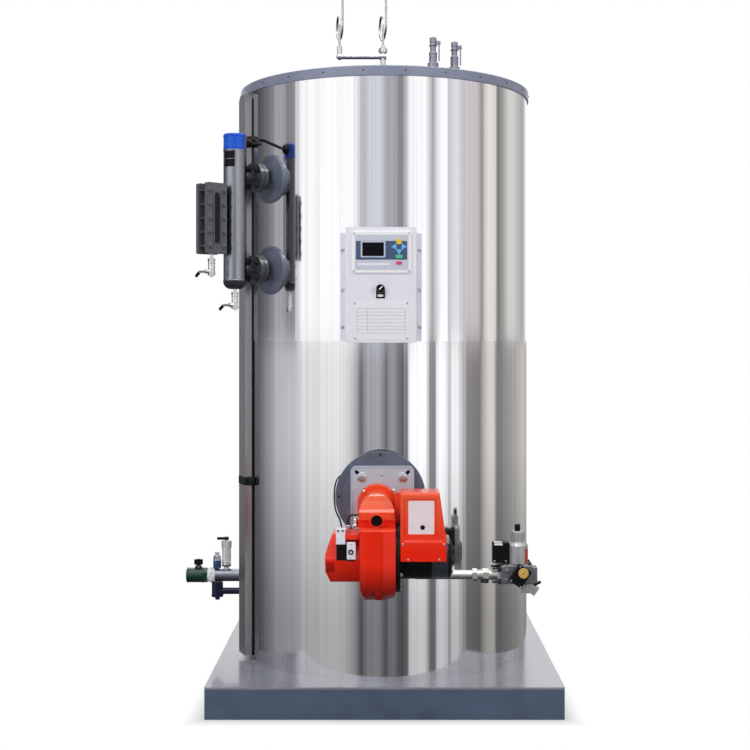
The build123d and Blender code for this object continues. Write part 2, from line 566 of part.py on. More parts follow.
def feed_stop_valve():
    x, length = stop_valve_x(), FEED_VALVE_L - FEED_NUT_L
    body = cyl(FEED_VALVE_R, length, (x, FEED_Y, FEED_Z), RIGHT)
    valve = fillet(body.edges().sort_by(Axis.X)[0], 5)
    valve += hexagon(FEED_VALVE_NUT, FEED_NUT_L, (x + length, FEED_Y, FEED_Z), RIGHT)
    valve += cyl(9, FEED_VALVE_R + 9, (x + STEM_IN, FEED_Y, FEED_Z))
    valve += cyl(STEM_R, FEED_VALVE_R + 39, (x + STEM_IN, FEED_Y, FEED_Z))
    return valve - cyl(FEED_HOLE_R, FEED_DEPTH, (x, FEED_Y, FEED_Z), RIGHT)


def feed_valve_handle():
    x, z = stop_valve_x() + STEM_IN, FEED_Z + FEED_VALVE_R + 14
    handle = block((x - 18, x + 18), (FEED_Y - 6, FEED_Y + 6), (z, z + 22)) + cyl(9, 22, (x, FEED_Y, z))
    return handle - cyl(STEM_R + STEM_GAP, 22, (x, FEED_Y, z))


def feed_check_valve():
    z = FEED_Z + FEED_PIPE_R + 4.5
    valve = cyl(7.5, z - FEED_Z, (CHECK_X, FEED_Y, FEED_Z)) - feed_run()
    valve += cyl(CHECK_R, 39, (CHECK_X, FEED_Y, z)) + hexagon(26, 14, (CHECK_X, FEED_Y, z + 39))
    return valve + cyl(9, 16, (CHECK_X, FEED_Y, z + 53))


def feed_strainer():
    body = cyl(STRAINER_R, STRAINER_H, (STRAINER_X, FEED_Y, STRAINER_Z))
    body += hexagon(17, 13, (STRAINER_X, FEED_Y, STRAINER_Z - 13))
    return body + cyl(DRAIN_R, DRAIN_L, (STRAINER_X, FEED_Y, DRAIN_Z), RIGHT) - shell_solid(LOWER_R)


def vent_valve():
    z = FEED_Z + FEED_PIPE_R
    valve = cyl(12, 20 + FEED_PIPE_R, (VENT_X, FEED_Y, FEED_Z)) - feed_run()
    valve += cyl(VENT_R, 72, (VENT_X, FEED_Y, z + 18)) + hexagon(38, 31, (VENT_X, FEED_Y, z + 90))
    return valve + cyl(STEM_R, 22, (VENT_X, FEED_Y, z + 121))


def vent_valve_lever():
    z = FEED_Z + FEED_PIPE_R + 125
    lever = block((VENT_X - VENT_LEVER_L, VENT_X), (FEED_Y - 7, FEED_Y + 7), (z, z + 10))
    lever += cyl(10, 10, (VENT_X, FEED_Y, z))
    return lever - cyl(STEM_R + STEM_GAP, 10, (VENT_X, FEED_Y, z))


# Pressure fittings on the top cover

def pressure_manifold():
    post = cyl(POST_R, SIPHON_Z - COVER_TOP, (POST_X, MANIFOLD_Y, COVER_TOP))
    post += hexagon(3 * POST_R, 20, (POST_X, MANIFOLD_Y, COVER_TOP))
    post += hexagon(3 * POST_R, 16, (POST_X, MANIFOLD_Y, MANIFOLD_Z + 17))
    post += cyl(POST_R, POST_X - ELBOW_X, (ELBOW_X, MANIFOLD_Y, MANIFOLD_Z), RIGHT)
    post += Pos(ELBOW_X, MANIFOLD_Y, MANIFOLD_Z) * Sphere(POST_R + 3)
    post += cyl(POST_R + 3, 26, (POST_X - 13, MANIFOLD_Y, MANIFOLD_Z), RIGHT)
    return post + cyl(POST_R, SIPHON_Z - MANIFOLD_Z, (ELBOW_X, MANIFOLD_Y, MANIFOLD_Z))


def half_turn(start, end, way):
    (x0, y0), (x1, y1) = start, end
    axis = Axis(((x0 + x1) / 2, (y0 + y1) / 2, LOOP_Z), (way * (y0 - y1), way * (x1 - x0), 0))
    return revolve(Pos(x0, y0, LOOP_Z) * Circle(SIPHON_R), axis, 180)


def siphon(x):
    turn = radians(LOOP_TURN)
    start, end = (x, MANIFOLD_Y), (x + LOOP_SHIFT, MANIFOLD_Y)
    far = (x + LOOP_SHIFT / 2 - 2 * LOOP_R * sin(turn), MANIFOLD_Y + 2 * LOOP_R * cos(turn))
    tube = cyl(SIPHON_R, LOOP_Z - SIPHON_Z, (*start, SIPHON_Z))
    tube += half_turn(start, far, 1) + half_turn(far, end, -1)
    return tube + cyl(SIPHON_R, SIPHON_TOP - LOOP_Z, (*end, LOOP_Z))


def siphon_tubes():
    return Compound([siphon(ELBOW_X), siphon(POST_X)])


def pressure_gauge():
    x, y, z = ELBOW_X + LOOP_SHIFT, MANIFOLD_Y, SIPHON_TOP
    face = (x, y - DIAL_T / 2, z + DIAL_STEM + DIAL_R)
    gauge = hexagon(22, 20, (x, y, z)) + cyl(8, DIAL_STEM + DIAL_T / 2, (x, y, z)) + cyl(DIAL_R, DIAL_T, face, BACK)
    return gauge - cyl(DIAL_R - 4, 4, face, BACK)


def pressure_controller():
    x, y, z = POST_X + LOOP_SHIFT, MANIFOLD_Y, SIPHON_TOP
    case = rounded(block((x - 34, x + 34), (y - 28, y + 28), (z + 20, z + 125)), Axis.Z, 5)
    return case + hexagon(24, 20, (x, y, z))


def safety_valves():
    body_r, cap_r = SAFETY_BODY_R, SAFETY_CAP_R
    valves = []
    for x, y in SAFETY_AT:
        valve = turned([(0, 0), (body_r - 1, 0), (body_r - 1, 52), (SAFETY_BASE_R, 52),
                        (SAFETY_BASE_R, 74), (body_r, 78), (body_r, 116), (cap_r - 2, 122),
                        (cap_r - 2, SAFETY_H - 20), (cap_r, SAFETY_H - 20), (cap_r, SAFETY_H - 4),
                        (cap_r - 4, SAFETY_H), (0, SAFETY_H)], (x, y, COVER_TOP))
        valve += block((x + cap_r - 4, x + SAFETY_PIN_X + 6), (y, y + 4),
                       (SAFETY_PIN_Z - 8, SAFETY_PIN_Z + 8))
        valves.append(valve + cyl(SAFETY_PIN_R, 12, (x + SAFETY_PIN_X, y - 8, SAFETY_PIN_Z), BACK))
    return Compound(valves)


def safety_lever(x, y):
    at = (x + SAFETY_PIN_X, y - 6, SAFETY_PIN_Z)
    lever = block((at[0] - 3, at[0] + 3), (y - 6, y - 3), (SAFETY_PIN_Z - SAFETY_LEVER_L, SAFETY_PIN_Z))
    lever += cyl(2 * SAFETY_PIN_R, 3, at, BACK)
    return lever - cyl(SAFETY_PIN_R + STEM_GAP, 3, at, BACK)


parts = {
    "base_frame": base_frame(),
    "base_deck": base_deck(),
    "cladding_lower": cladding_course(LOWER_R, DECK_TOP, LAP_Z + LAP_H),
    "cladding_upper": cladding_course(SHELL_R, LAP_Z, COVER_TOP - COVER_T),
    "top_cover": top_cover(),
    "lifting_lugs": lifting_lugs(),
    "flue_collar": flue_collar(),
    "steam_outlet": steam_outlet(),
    "blowdown_nozzle": blowdown_nozzle(),
    "cable_trunking": cable_trunking(),
    "level_nozzles": level_nozzles(),
    "level_escutcheons": level_escutcheons(),
    "level_column": level_column(),
    "electrode_cap": electrode_cap(),
    "gauge_body": gauge_body(),
    "gauge_covers": gauge_covers(),
    "gauge_glass": gauge_glass(),
    "drain_cocks": drain_cocks(),
    "gauge_drain_lever": cock_lever(*COCKS[0]),
    "column_drain_lever": cock_lever(*COCKS[1]),
    "control_box": control_box(),
    "control_screen_panel": control_screen_panel(),
    "selector_knob": selector_knob(),
    "burner_mount_ring": burner_mount_ring(),
    "burner_flange": burner_flange(),
    "burner_head_housing": burner_head_housing(),
    "fan_volute": fan_volute(),
    "air_intake": air_intake(),
    "air_pressure_switch": air_pressure_switch(),
    "burner_control_cover": burner_control_cover(),
    "fan_motor": fan_motor(),
    "gas_pipe": gas_pipe(),
    "gas_union": gas_union(),
    "gas_valve": gas_valve(),
    "gas_solenoid": gas_solenoid(),
    "gas_connector": gas_connector(),
    "gas_pressure_switch": gas_pressure_switch(),
    "gas_regulator": gas_regulator(),
    "feed_pipe": feed_pipe(),
    "feed_union": feed_union(),
    "feed_stop_valve": feed_stop_valve(),
    "feed_valve_handle": feed_valve_handle(),
    "feed_check_valve": feed_check_valve(),
    "feed_strainer": feed_strainer(),
    "vent_valve": vent_valve(),
    "vent_valve_lever": vent_valve_lever(),
    "pressure_manifold": pressure_manifold(),
    "siphon_tubes": siphon_tubes(),
    "pressure_gauge": pressure_gauge(),
    "pressure_controller": pressure_controller(),
    "safety_valves": safety_valves(),
    "safety_lever_front": safety_lever(*SAFETY_AT[0]),
    "safety_lever_rear": safety_lever(*SAFETY_AT[1]),
}

for name, shape in parts.items():
    shape.label = name
    export_step(shape, f"parts/{name}.step")
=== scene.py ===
from math import cos, pi, radians, sin

import bmesh
import bpy
from mathutils import Matrix, Vector

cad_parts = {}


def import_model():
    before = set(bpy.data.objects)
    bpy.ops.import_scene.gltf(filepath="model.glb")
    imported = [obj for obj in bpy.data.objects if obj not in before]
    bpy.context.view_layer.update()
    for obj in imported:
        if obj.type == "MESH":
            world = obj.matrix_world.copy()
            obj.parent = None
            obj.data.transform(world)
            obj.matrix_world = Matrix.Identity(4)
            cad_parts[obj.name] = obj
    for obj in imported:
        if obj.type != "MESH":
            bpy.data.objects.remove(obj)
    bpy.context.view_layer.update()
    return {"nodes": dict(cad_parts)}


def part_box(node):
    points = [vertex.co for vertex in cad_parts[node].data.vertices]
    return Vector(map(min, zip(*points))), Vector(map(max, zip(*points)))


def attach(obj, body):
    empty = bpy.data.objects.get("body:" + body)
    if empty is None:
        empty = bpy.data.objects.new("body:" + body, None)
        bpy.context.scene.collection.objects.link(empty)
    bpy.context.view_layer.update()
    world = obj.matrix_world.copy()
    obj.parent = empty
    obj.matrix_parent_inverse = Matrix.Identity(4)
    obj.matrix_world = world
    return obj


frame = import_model()
BODY = "boiler"

# The camera stands level in front of the boiler, in metres.
CAMERA_AT = (0.0, -5.196, 1.423)
CAMERA_LENS, CAMERA_SENSOR = 58.8, 36
CAMERA_SHIFT = (-0.0127, -0.0533)

FRONT = Vector((0, -1, 0))
RIGHT = Vector((1, 0, 0))
UP = Vector((0, 0, 1))


def middle(node):
    low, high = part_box(node)
    return (Vector(low) + Vector(high)) / 2


# The level column and gauge stand out along one radial line.
column = middle("level_column")
OUT = Vector((column.x, column.y, 0)).normalized()
ACROSS = Vector((-OUT.y, OUT.x, 0))
COLUMN_AT = Vector((column.x, column.y, 0)).length
gauge = middle("gauge_covers")
GAUGE_AT = Vector((gauge.x, gauge.y, 0)).dot(OUT)


# Node helpers

def add(tree, kind, *values, **settings):
    """Add a node whose sockets take, in order, a value or a link each, and give its first output."""
    node = tree.nodes.new("ShaderNode" + kind)
    for setting, choice in settings.items():
        setattr(node, setting, choice)
    for socket, value in zip(node.inputs, values):
        if isinstance(value, bpy.types.NodeSocket):
            tree.links.new(value, socket)
        else:
            socket.default_value = value
    return node.outputs[0]


def maths(tree, operation, *values):
    return add(tree, "Math", *values, operation=operation)


def axis_of(tree, vector, axis):
    node = tree.nodes.new("ShaderNodeSeparateXYZ")
    tree.links.new(vector, node.inputs[0])
    return node.outputs[axis]


def ramp(tree, place, stops):
    colour = add(tree, "ValToRGB", place)
    elements = colour.node.color_ramp.elements
    while len(elements) > 1:
        elements.remove(elements[-1])
    elements[0].position, elements[0].color = stops[0][0], (*stops[0][1], 1)
    for at, tint in stops[1:]:
        elements.new(at).color = (*tint, 1)
    return colour


def noise(tree, scale, detail=4, stretch=(1, 1, 1), shift=0.0):
    place = tree.nodes.new("ShaderNodeTexCoord").outputs["Object"]
    spot = add(tree, "Mapping", place, (shift, shift, shift), (0, 0, 0), stretch)
    return add(tree, "TexNoise", spot, 0, scale, detail)


def relief(tree, height, strength, distance):
    node = tree.nodes.new("ShaderNodeBump")
    node.inputs["Strength"].default_value = strength
    node.inputs["Distance"].default_value = distance
    tree.links.new(height, node.inputs["Height"])
    return node


def scaled(colour, amount):
    return tuple(min(1.0, c * amount) for c in colour)


COAT_ROUGH, EDGE_SAMPLES, GRAIN_TURN = 0.08, 4, 0.25


def material(name, colour, rough=0.4, metal=0.0, spread=0.06, grain=40, stretch=(1, 1, 1),
             rough_spread=0.08, bump=0.15, bump_scale=400, bump_size=0.0004, edge=0.0012,
             coat=0.0, spec=0.5, anisotropic=0.0):
    """A finish whose tint and gloss wander a little, with fine relief and softened edges."""
    made = bpy.data.materials.new(name)
    made.use_nodes = True
    tree = made.node_tree
    shader = tree.nodes["Principled BSDF"]
    link = tree.links.new
    blotch = noise(tree, grain, stretch=stretch)
    tint = ramp(tree, blotch, [(0.25, scaled(colour, 1 - spread)), (0.75, scaled(colour, 1 + spread))])
    link(tint, shader.inputs["Base Color"])
    link(maths(tree, "MULTIPLY_ADD", blotch, 2 * rough_spread, rough - rough_spread),
         shader.inputs["Roughness"])
    for socket, value in (("Metallic", metal), ("Coat Weight", coat), ("Coat Roughness", COAT_ROUGH),
                          ("Specular IOR Level", spec)):
        shader.inputs[socket].default_value = value
    if anisotropic:
        shader.inputs["Anisotropic"].default_value = anisotropic
        shader.inputs["Anisotropic Rotation"].default_value = GRAIN_TURN
        tangent = tree.nodes.new("ShaderNodeTangent")
        tangent.direction_type = "RADIAL"
        tangent.axis = "Z"
        link(tangent.outputs["Tangent"], shader.inputs["Tangent"])
    surface = relief(tree, noise(tree, bump_scale, stretch=stretch), bump, bump_size)
    if edge:
        bevel = tree.nodes.new("ShaderNodeBevel")
        bevel.samples = EDGE_SAMPLES
        bevel.inputs["Radius"].default_value = edge
        link(bevel.outputs["Normal"], surface.inputs["Normal"])
    link(surface.outputs["Normal"], shader.inputs["Normal"])
    return made


def cladding(name, colour, shift):
    """Polished sheet: grain and gloss stretched upright, and three sizes of upright wave."""
    made = material(name, colour, rough=0.075, metal=1.0, spread=0.11, grain=1, stretch=(105, 105, 0.2),
                    rough_spread=0.02, bump=0.25, bump_scale=1, edge=0, anisotropic=0.7)
    tree = made.node_tree
    surface = next(n for n in tree.nodes if n.type == "BUMP")
    for wave, stretch in ((0.0008, (5, 5, 0.3)), (0.0006, (18, 18, 0.12)), (0.00016, (70, 70, 0.1))):
        ripple = relief(tree, noise(tree, 1, detail=1, stretch=stretch, shift=shift), 1.0, wave)
        tree.links.new(ripple.outputs["Normal"], surface.inputs["Normal"])
        surface = ripple
    return made


def painted_light_tint(made, colour, reads, axis, low, high):
    """Painted highlight and shade: the colour takes over where the face's direction or height goes from low
    to high.
    """
    tree = made.node_tree
    base = tree.nodes["Principled BSDF"].inputs["Base Color"]
    place = axis_of(tree, tree.nodes.new("ShaderNodeNewGeometry").outputs[reads], axis)
    share = add(tree, "MapRange", place, low, high)
    tree.links.new(add(tree, "MixRGB", share, base.links[0].from_socket, (*colour, 1)), base)


# Materials: the body

STEEL_UPPER = cladding("cladding_upper_steel", (0.86, 0.86, 0.885), 0.0)
STEEL_LOWER = cladding("cladding_lower_steel", (0.78, 0.78, 0.8), 7.3)
TRUNKING = material("trunking_steel", (0.31, 0.3, 0.315), rough=0.26, metal=1.0, grain=1,
                    stretch=(120, 120, 1.2), edge=0.001)
PLINTH = material("plinth_paint", (0.08, 0.115, 0.185), rough=0.38, spread=0.16, grain=9, coat=0.25,
                  bump=0.3, bump_scale=160, bump_size=0.0006, edge=0.002)
# The deck is the base's blue-grey paint made lighter, as painted light on its upward face.
DECK = material("deck_paint", (0.26, 0.27, 0.33), rough=0.28, spread=0.12, grain=7, coat=0.6,
                bump=0.25, bump_scale=120, bump_size=0.0006, edge=0.002)
COVER = material("cover_paint", (0.24, 0.265, 0.37), rough=0.36, spread=0.1, grain=12, coat=0.25,
                 bump=0.25, bump_scale=200, edge=0.002)
RING = material("ring_paint", (0.125, 0.145, 0.205), rough=0.34, spread=0.16, grain=12, coat=0.25,
                bump=0.25, bump_scale=200, edge=0.002)
FITTING = material("fitting_paint", (0.05, 0.056, 0.066), rough=0.34, spread=0.14, grain=30, coat=0.2)
COLUMN = material("column_steel", (0.34, 0.35, 0.385), rough=0.26, metal=1.0, grain=6,
                  stretch=(18, 18, 1), spread=0.1)
CAP_BLUE = material("cap_blue", (0.006, 0.11, 0.7), rough=0.28, spread=0.08, grain=25, coat=0.15, spec=0.3)

# Materials: metals

IRON = material("gauge_iron", (0.1, 0.104, 0.118), rough=0.5, spread=0.2, grain=60, bump=0.5,
                bump_scale=260, bump_size=0.0008)
CHROME = material("chrome_fitting", (0.8, 0.8, 0.8), rough=0.1, metal=1.0, spread=0.03,
                  rough_spread=0.04, bump=0.04)
SATIN = material("satin_chrome", (0.86, 0.86, 0.88), rough=0.38, metal=0.45, spread=0.04)
STEEL = material("plain_steel", (0.62, 0.62, 0.62), rough=0.28, metal=1.0)
BOLT = material("zinc_bolt", (0.55, 0.55, 0.56), rough=0.3, metal=1.0, spread=0.12, grain=90)
BOLT_DARK = material("dark_bolt", (0.03, 0.033, 0.038), metal=0.3, spread=0.15, grain=90, spec=0.3)
ALLOY = material("burner_aluminium", (0.55, 0.64, 0.74), rough=0.5, metal=0.15, spread=0.07,
                 grain=35, bump=0.35, bump_scale=300, spec=0.3)
ZINC = material("zinc_pipe", (0.8, 0.8, 0.79), rough=0.3, metal=0.8, spread=0.05, grain=45,
                bump=0.02, rough_spread=0.03)
CAST = material("valve_alloy", (0.19, 0.2, 0.21), rough=0.45, metal=0.6, spread=0.14, grain=70,
                bump=0.4, bump_scale=350)
CAST_LIGHT = material("valve_cast_light", (0.45, 0.45, 0.46), rough=0.42, metal=0.5, spread=0.08, grain=70)
FEED = material("feed_pipe", (0.24, 0.25, 0.29), rough=0.34, metal=0.8, spread=0.12)
NICKEL = material("nickel_brass", (0.6, 0.57, 0.5), rough=0.25, metal=1.0, spread=0.08, grain=60)
SAFETY = material("safety_steel", (0.3, 0.3, 0.37), rough=0.33, metal=0.8, spread=0.12, grain=45)

# Materials: paints

ORANGE = material("burner_orange", (0.97, 0.022, 0.001), rough=0.25, spread=0.05, grain=10,
                  coat=0.35, spec=0.12, bump=0.12, bump_scale=250, edge=0.006)
RED = material("burner_red", (0.97, 0.018, 0.001), rough=0.24, spread=0.05, grain=10,
               coat=0.3, spec=0.15, bump=0.08, bump_scale=250, edge=0.003)
# The burner head has its own, slightly paler copy of the burner orange, which carries the painted
# highlights laid on below.
HEAD = material("burner_orange_head", (0.97, 0.03, 0.003), rough=0.26, grain=10,
                coat=0.35, spec=0.15, bump=0.12, bump_scale=250, edge=0.003)
MOTOR = material("motor_black", (0.006, 0.006, 0.006), rough=0.45, spread=0.2, grain=50,
                 bump=0.4, spec=0.12)
BELL = material("motor_bell", (0.035, 0.05, 0.057), rough=0.36, metal=0.3, spread=0.15, spec=0.3)
GREEN = material("valve_green", (0.003, 0.055, 0.035), rough=0.28, spread=0.12, grain=30,
                 coat=0.4, spec=0.3)
BLUE = material("valve_blue", (0.006, 0.05, 0.2), rough=0.3, spread=0.12, grain=30, coat=0.3)
NAVY = material("strainer_blue", (0.003, 0.006, 0.038), rough=0.34, spread=0.15, grain=30,
                coat=0.15, spec=0.3)

# Materials: plastics, glass and labels

GLASS_DARK = material("sight_glass", (0.008, 0.009, 0.01), rough=0.1, spread=0.2, bump=0.02,
                      rough_spread=0.02, spec=0.25)
BLACK = material("black_plastic", (0.006, 0.006, 0.0065), spread=0.2, grain=60, spec=0.12)
RUBBER = material("black_cable", (0.008, 0.008, 0.009), rough=0.55, spread=0.25, grain=80, spec=0.2)
WHITE = material("white_plastic", (0.92, 0.92, 0.91), spread=0.04, grain=30)
YELLOW = material("dial_yellow", (0.75, 0.46, 0.12), grain=60)
CONNECTOR = material("connector_grey", (0.42, 0.47, 0.43), spread=0.08, grain=60)
TAG_RED = material("tag_red", (0.55, 0.03, 0.02), spread=0.1)
LABEL = material("label_film", (0.95, 0.82, 0.86), rough=0.3, spread=0.03, grain=25, coat=0.3)
BOX = material("box_paint", (0.9, 0.885, 0.98), rough=0.42, spread=0.03, grain=14, bump=0.35,
               bump_scale=900, bump_size=0.0003, edge=0.002)
PLATE = material("rating_plate", (0.97, 0.95, 1.0), rough=0.32, metal=0.1, spread=0.03, grain=1,
                 stretch=(900, 30, 30))
INK = material("ruled_ink", (0.5, 0.5, 0.55), rough=0.5, spread=0.1)
SCREEN_WHITE = material("screen_plastic", (0.98, 0.98, 1.0), rough=0.3, spread=0.02, grain=20, coat=0.2)
SCREEN_BLACK = material("screen_glass", (0.003, 0.003, 0.006), rough=0.2, spread=0.2, bump=0.01,
                        spec=0.12)
MEMBRANE = material("panel_membrane", (0.64, 0.67, 0.78), rough=0.35, spread=0.03, grain=60)
BAND_BLUE, KEY_YELLOW, KEY_BLUE, KEY_GREEN, KEY_RED = (
    material(name, colour, rough=0.35, spread=0.04) for name, colour in (
        ("panel_blue", (0.06, 0.1, 0.21)), ("key_yellow", (0.86, 0.62, 0.05)),
        ("key_blue", (0.18, 0.5, 0.85)), ("key_green", (0.1, 0.55, 0.3)), ("key_red", (0.75, 0.06, 0.2))))

# Painted highlights and painted shade, each laid over the ones before: where the colour begins and where it
# is full.
PAINTED_HIGHLIGHT_ON_TOP = ("Normal", "Z", 0.55, 0.95)
PAINTED_SHADE_UNDERNEATH = ("Normal", "Z", 0.1, -0.75)
PAINTED_SHADE_TOWARDS_SHELL = ("Normal", "X", 0.68, 0.92)
for finish, colour, reach in (
    # Painted highlights: the burner head paler above the port band and on its top faces, the cover paler
    # higher up, the volute and intake paler on top.
    (HEAD, (0.97, 0.085, 0.024), ("Position", "Z", 0.762, 0.77)),
    (HEAD, (0.94, 0.16, 0.055), PAINTED_HIGHLIGHT_ON_TOP),
    (RED, (1.0, 0.11, 0.04), ("Position", "Z", 0.66, 0.84)),
    (ORANGE, (1.0, 0.09, 0.03), PAINTED_HIGHLIGHT_ON_TOP),
    # Painted shade: the volute darker towards the bottom, the column and its cap darker on the side towards
    # the shell, and the valves, pipes and levers darker underneath.
    (ORANGE, (0.2, 0.002, 0.0005), ("Position", "Z", 0.62, 0.5)),
    (COLUMN, (0.09, 0.09, 0.105), PAINTED_SHADE_TOWARDS_SHELL),
    (CAP_BLUE, (0.002, 0.03, 0.17), PAINTED_SHADE_TOWARDS_SHELL),
    (GREEN, (0.0003, 0.004, 0.003), PAINTED_SHADE_UNDERNEATH),
    (ZINC, (0.09, 0.09, 0.095), PAINTED_SHADE_UNDERNEATH),
    (STEEL, (0.02, 0.02, 0.022), PAINTED_SHADE_UNDERNEATH),
    (FEED, (0.05, 0.05, 0.06), PAINTED_SHADE_UNDERNEATH),
    (SATIN, (0.3, 0.3, 0.31), PAINTED_SHADE_UNDERNEATH),
):
    painted_light_tint(finish, colour, *reach)

NODES_BY_MATERIAL = (
    (PLINTH, "base_frame"), (DECK, "base_deck"), (STEEL_LOWER, "cladding_lower"),
    (STEEL_UPPER, "cladding_upper"), (COVER, "top_cover lifting_lugs flue_collar"),
    (FITTING, "steam_outlet blowdown_nozzle level_nozzles"), (TRUNKING, "cable_trunking"),
    (RING, "level_escutcheons burner_mount_ring"), (COLUMN, "level_column"), (CAP_BLUE, "electrode_cap"),
    # The gauge body takes the near-black bolt finish, as painted shade for its deep chambers.
    (BOLT_DARK, "gauge_body"), (IRON, "gauge_covers"), (GLASS_DARK, "gauge_glass"),
    (CHROME, "drain_cocks pressure_gauge"), (STEEL, "gauge_drain_lever column_drain_lever siphon_tubes"),
    (BOX, "control_box"), (SCREEN_WHITE, "control_screen_panel"),
    (BLACK, "selector_knob air_pressure_switch gas_connector gas_pressure_switch"),
    (BLACK, "feed_valve_handle vent_valve_lever pressure_controller"), (ALLOY, "burner_flange"),
    (HEAD, "burner_head_housing"), (ORANGE, "fan_volute air_intake"), (RED, "burner_control_cover"),
    (MOTOR, "fan_motor"), (ZINC, "gas_pipe gas_union pressure_manifold"), (CAST, "gas_valve"),
    (CAST_LIGHT, "gas_solenoid gas_regulator"), (FEED, "feed_pipe"), (WHITE, "feed_union"),
    (GREEN, "feed_stop_valve"), (BLUE, "feed_check_valve"), (NAVY, "feed_strainer"), (SATIN, "vent_valve"),
    (SAFETY, "safety_valves safety_lever_front safety_lever_rear"),
)


def dress_nodes():
    for finish, names in NODES_BY_MATERIAL:
        for name in names.split():
            mesh = frame["nodes"][name].data
            mesh.materials.clear()
            mesh.materials.append(finish)


# Mesh helpers

CORNER_STEPS, WRAP_STEPS, SHARP_EDGE = 6, 16, radians(35)


def axes(at, axis, x_dir=None):
    """The place of a shape that is drawn round its own Z."""
    z = Vector(axis).normalized()
    x = Vector(x_dir) if x_dir is not None else (UP if abs(z.z) < 0.9 else RIGHT)
    x = (x - z * x.dot(z)).normalized()
    turn = Matrix((x, z.cross(x), z)).transposed().to_4x4()
    return Matrix.Translation(Vector(at)) @ turn


def rounded_outline(width, height, corner):
    steps = [k / CORNER_STEPS for k in range(CORNER_STEPS + 1)] if corner else [0]
    outline = []
    for i, (sx, sy) in enumerate(((1, 1), (-1, 1), (-1, -1), (1, -1))):
        cx, cy = sx * (width / 2 - corner), sy * (height / 2 - corner)
        for k in steps:
            a = pi / 2 * (i + k)
            outline.append((cx + corner * cos(a), cy + corner * sin(a)))
    return outline


def ring_of(count, r, at, axis, start=0.0):
    place = axes(at, axis)
    turns = [start + 2 * pi * i / count for i in range(count)]
    return [place @ Vector((r * cos(a), r * sin(a), 0)) for a in turns]


def heading_at(degrees):
    """A direction in the plane that faces the front, turned from the right towards the top."""
    return Vector((cos(radians(degrees)), 0, sin(radians(degrees))))


class Piece:
    """The shapes drawn in a with block become one object on one body when the block ends."""

    def __init__(self, name, finish, slot, body=BODY):
        self.name, self.finish, self.slot, self.body = name, finish, slot, body
        self.mesh = bmesh.new()

    def __enter__(self):
        return self

    def __exit__(self, error, *_):
        if error:
            return
        data = bpy.data.meshes.new(self.name)
        bmesh.ops.recalc_face_normals(self.mesh, faces=self.mesh.faces)
        self.mesh.to_mesh(data)
        self.mesh.free()
        data.polygons.foreach_set("use_smooth", [True] * len(data.polygons))
        data.set_sharp_from_angle(angle=SHARP_EDGE)
        data.materials.append(self.finish)
        made = bpy.data.objects.new(self.name, data)
        bpy.context.scene.collection.objects.link(made)
        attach(made, self.body)

    def rings(self, rings, place):
        """Join a row of outlines, each to the next, and close both ends."""
        made = [[self.mesh.verts.new(place @ Vector(p)) for p in ring] for ring in rings]
        count = len(made[0])
        for low, high in zip(made, made[1:]):
            for i in range(count):
                j = (i + 1) % count
                self.mesh.faces.new((low[i], low[j], high[j], high[i]))
        self.mesh.faces.new(list(reversed(made[0])))
        self.mesh.faces.new(made[-1])

    def lathe(self, profile, at, axis, sides=32):
        """Turn a profile of radius and height round the axis."""
        turns = [2 * pi * i / sides for i in range(sides)]
        rings = [[(r * cos(a), r * sin(a), h) for a in turns] for r, h in profile]
        self.rings(rings, axes(at, axis))

    def disc(self, r, depth, at, axis, sides=32):
        self.lathe([(r, 0), (r, depth)], at, axis, sides)

    def collar(self, r, width, at, axis, sides=32, lip=0.0017, ease=0.001):
        """A low ring whose edges slope down by the lip."""
        self.lathe([(r - lip, 0), (r, ease), (r, width - ease), (r - lip, width)], at, axis, sides)

    def prism(self, outline, depth, at, axis, x_dir=None, bevel=0.0):
        span = max(Vector(p).length for p in outline)
        tight = 1 - bevel / span
        levels = [(1, 0), (1, depth - bevel), (tight, depth)] if bevel else [(1, 0), (1, depth)]
        rings = [[(x * k, y * k, h) for x, y in outline] for k, h in levels]
        self.rings(rings, axes(at, axis, x_dir))

    def hex(self, flats, depth, at, axis):
        r = flats / 2 / cos(pi / 6)
        outline = [(r * cos(pi / 3 * i), r * sin(pi / 3 * i)) for i in range(6)]
        self.prism(outline, depth, at, axis, bevel=min(0.12 * flats, depth / 3))

    def slab(self, width, height, depth, at, axis, x_dir=None, corner=0.0, bevel=0.0):
        self.prism(rounded_outline(width, height, corner), depth, at, axis, x_dir, bevel)

    def tile(self, width, height, depth, at, corner=0.0, bevel=0.0):
        """A slab that faces the front."""
        self.slab(width, height, depth, at, FRONT, RIGHT, corner, bevel)

    def bolt(self, flats, at, axis, head=None):
        at, axis = Vector(at), Vector(axis).normalized()
        washer = flats * 0.15
        self.lathe([(flats * 0.95, 0), (flats * 0.95, washer * 0.7), (flats * 0.88, washer)], at, axis, 24)
        self.hex(flats, head or flats * 0.6, at + axis * washer, axis)

    def screw(self, r, at, axis):
        profile = [(r, 0), (r, 0.35 * r), (0.82 * r, 0.6 * r), (0.4 * r, 0.72 * r), (0.3 * r, 0.45 * r)]
        self.lathe(profile, at, axis, 20)

    def wrap(self, centre, r, start, end, low, high, depth):
        """A strip on an upright cylinder, from one turn to another."""
        rings = []
        for i in range(WRAP_STEPS + 1):
            a = start + (end - start) * i / WRAP_STEPS
            x, y = sin(a), -cos(a)
            rings.append([(centre[0] + x * p, centre[1] + y * p, z)
                          for p, z in ((r, low), (r + depth, low), (r + depth, high), (r, high))])
        self.rings(rings, Matrix.Identity(4))


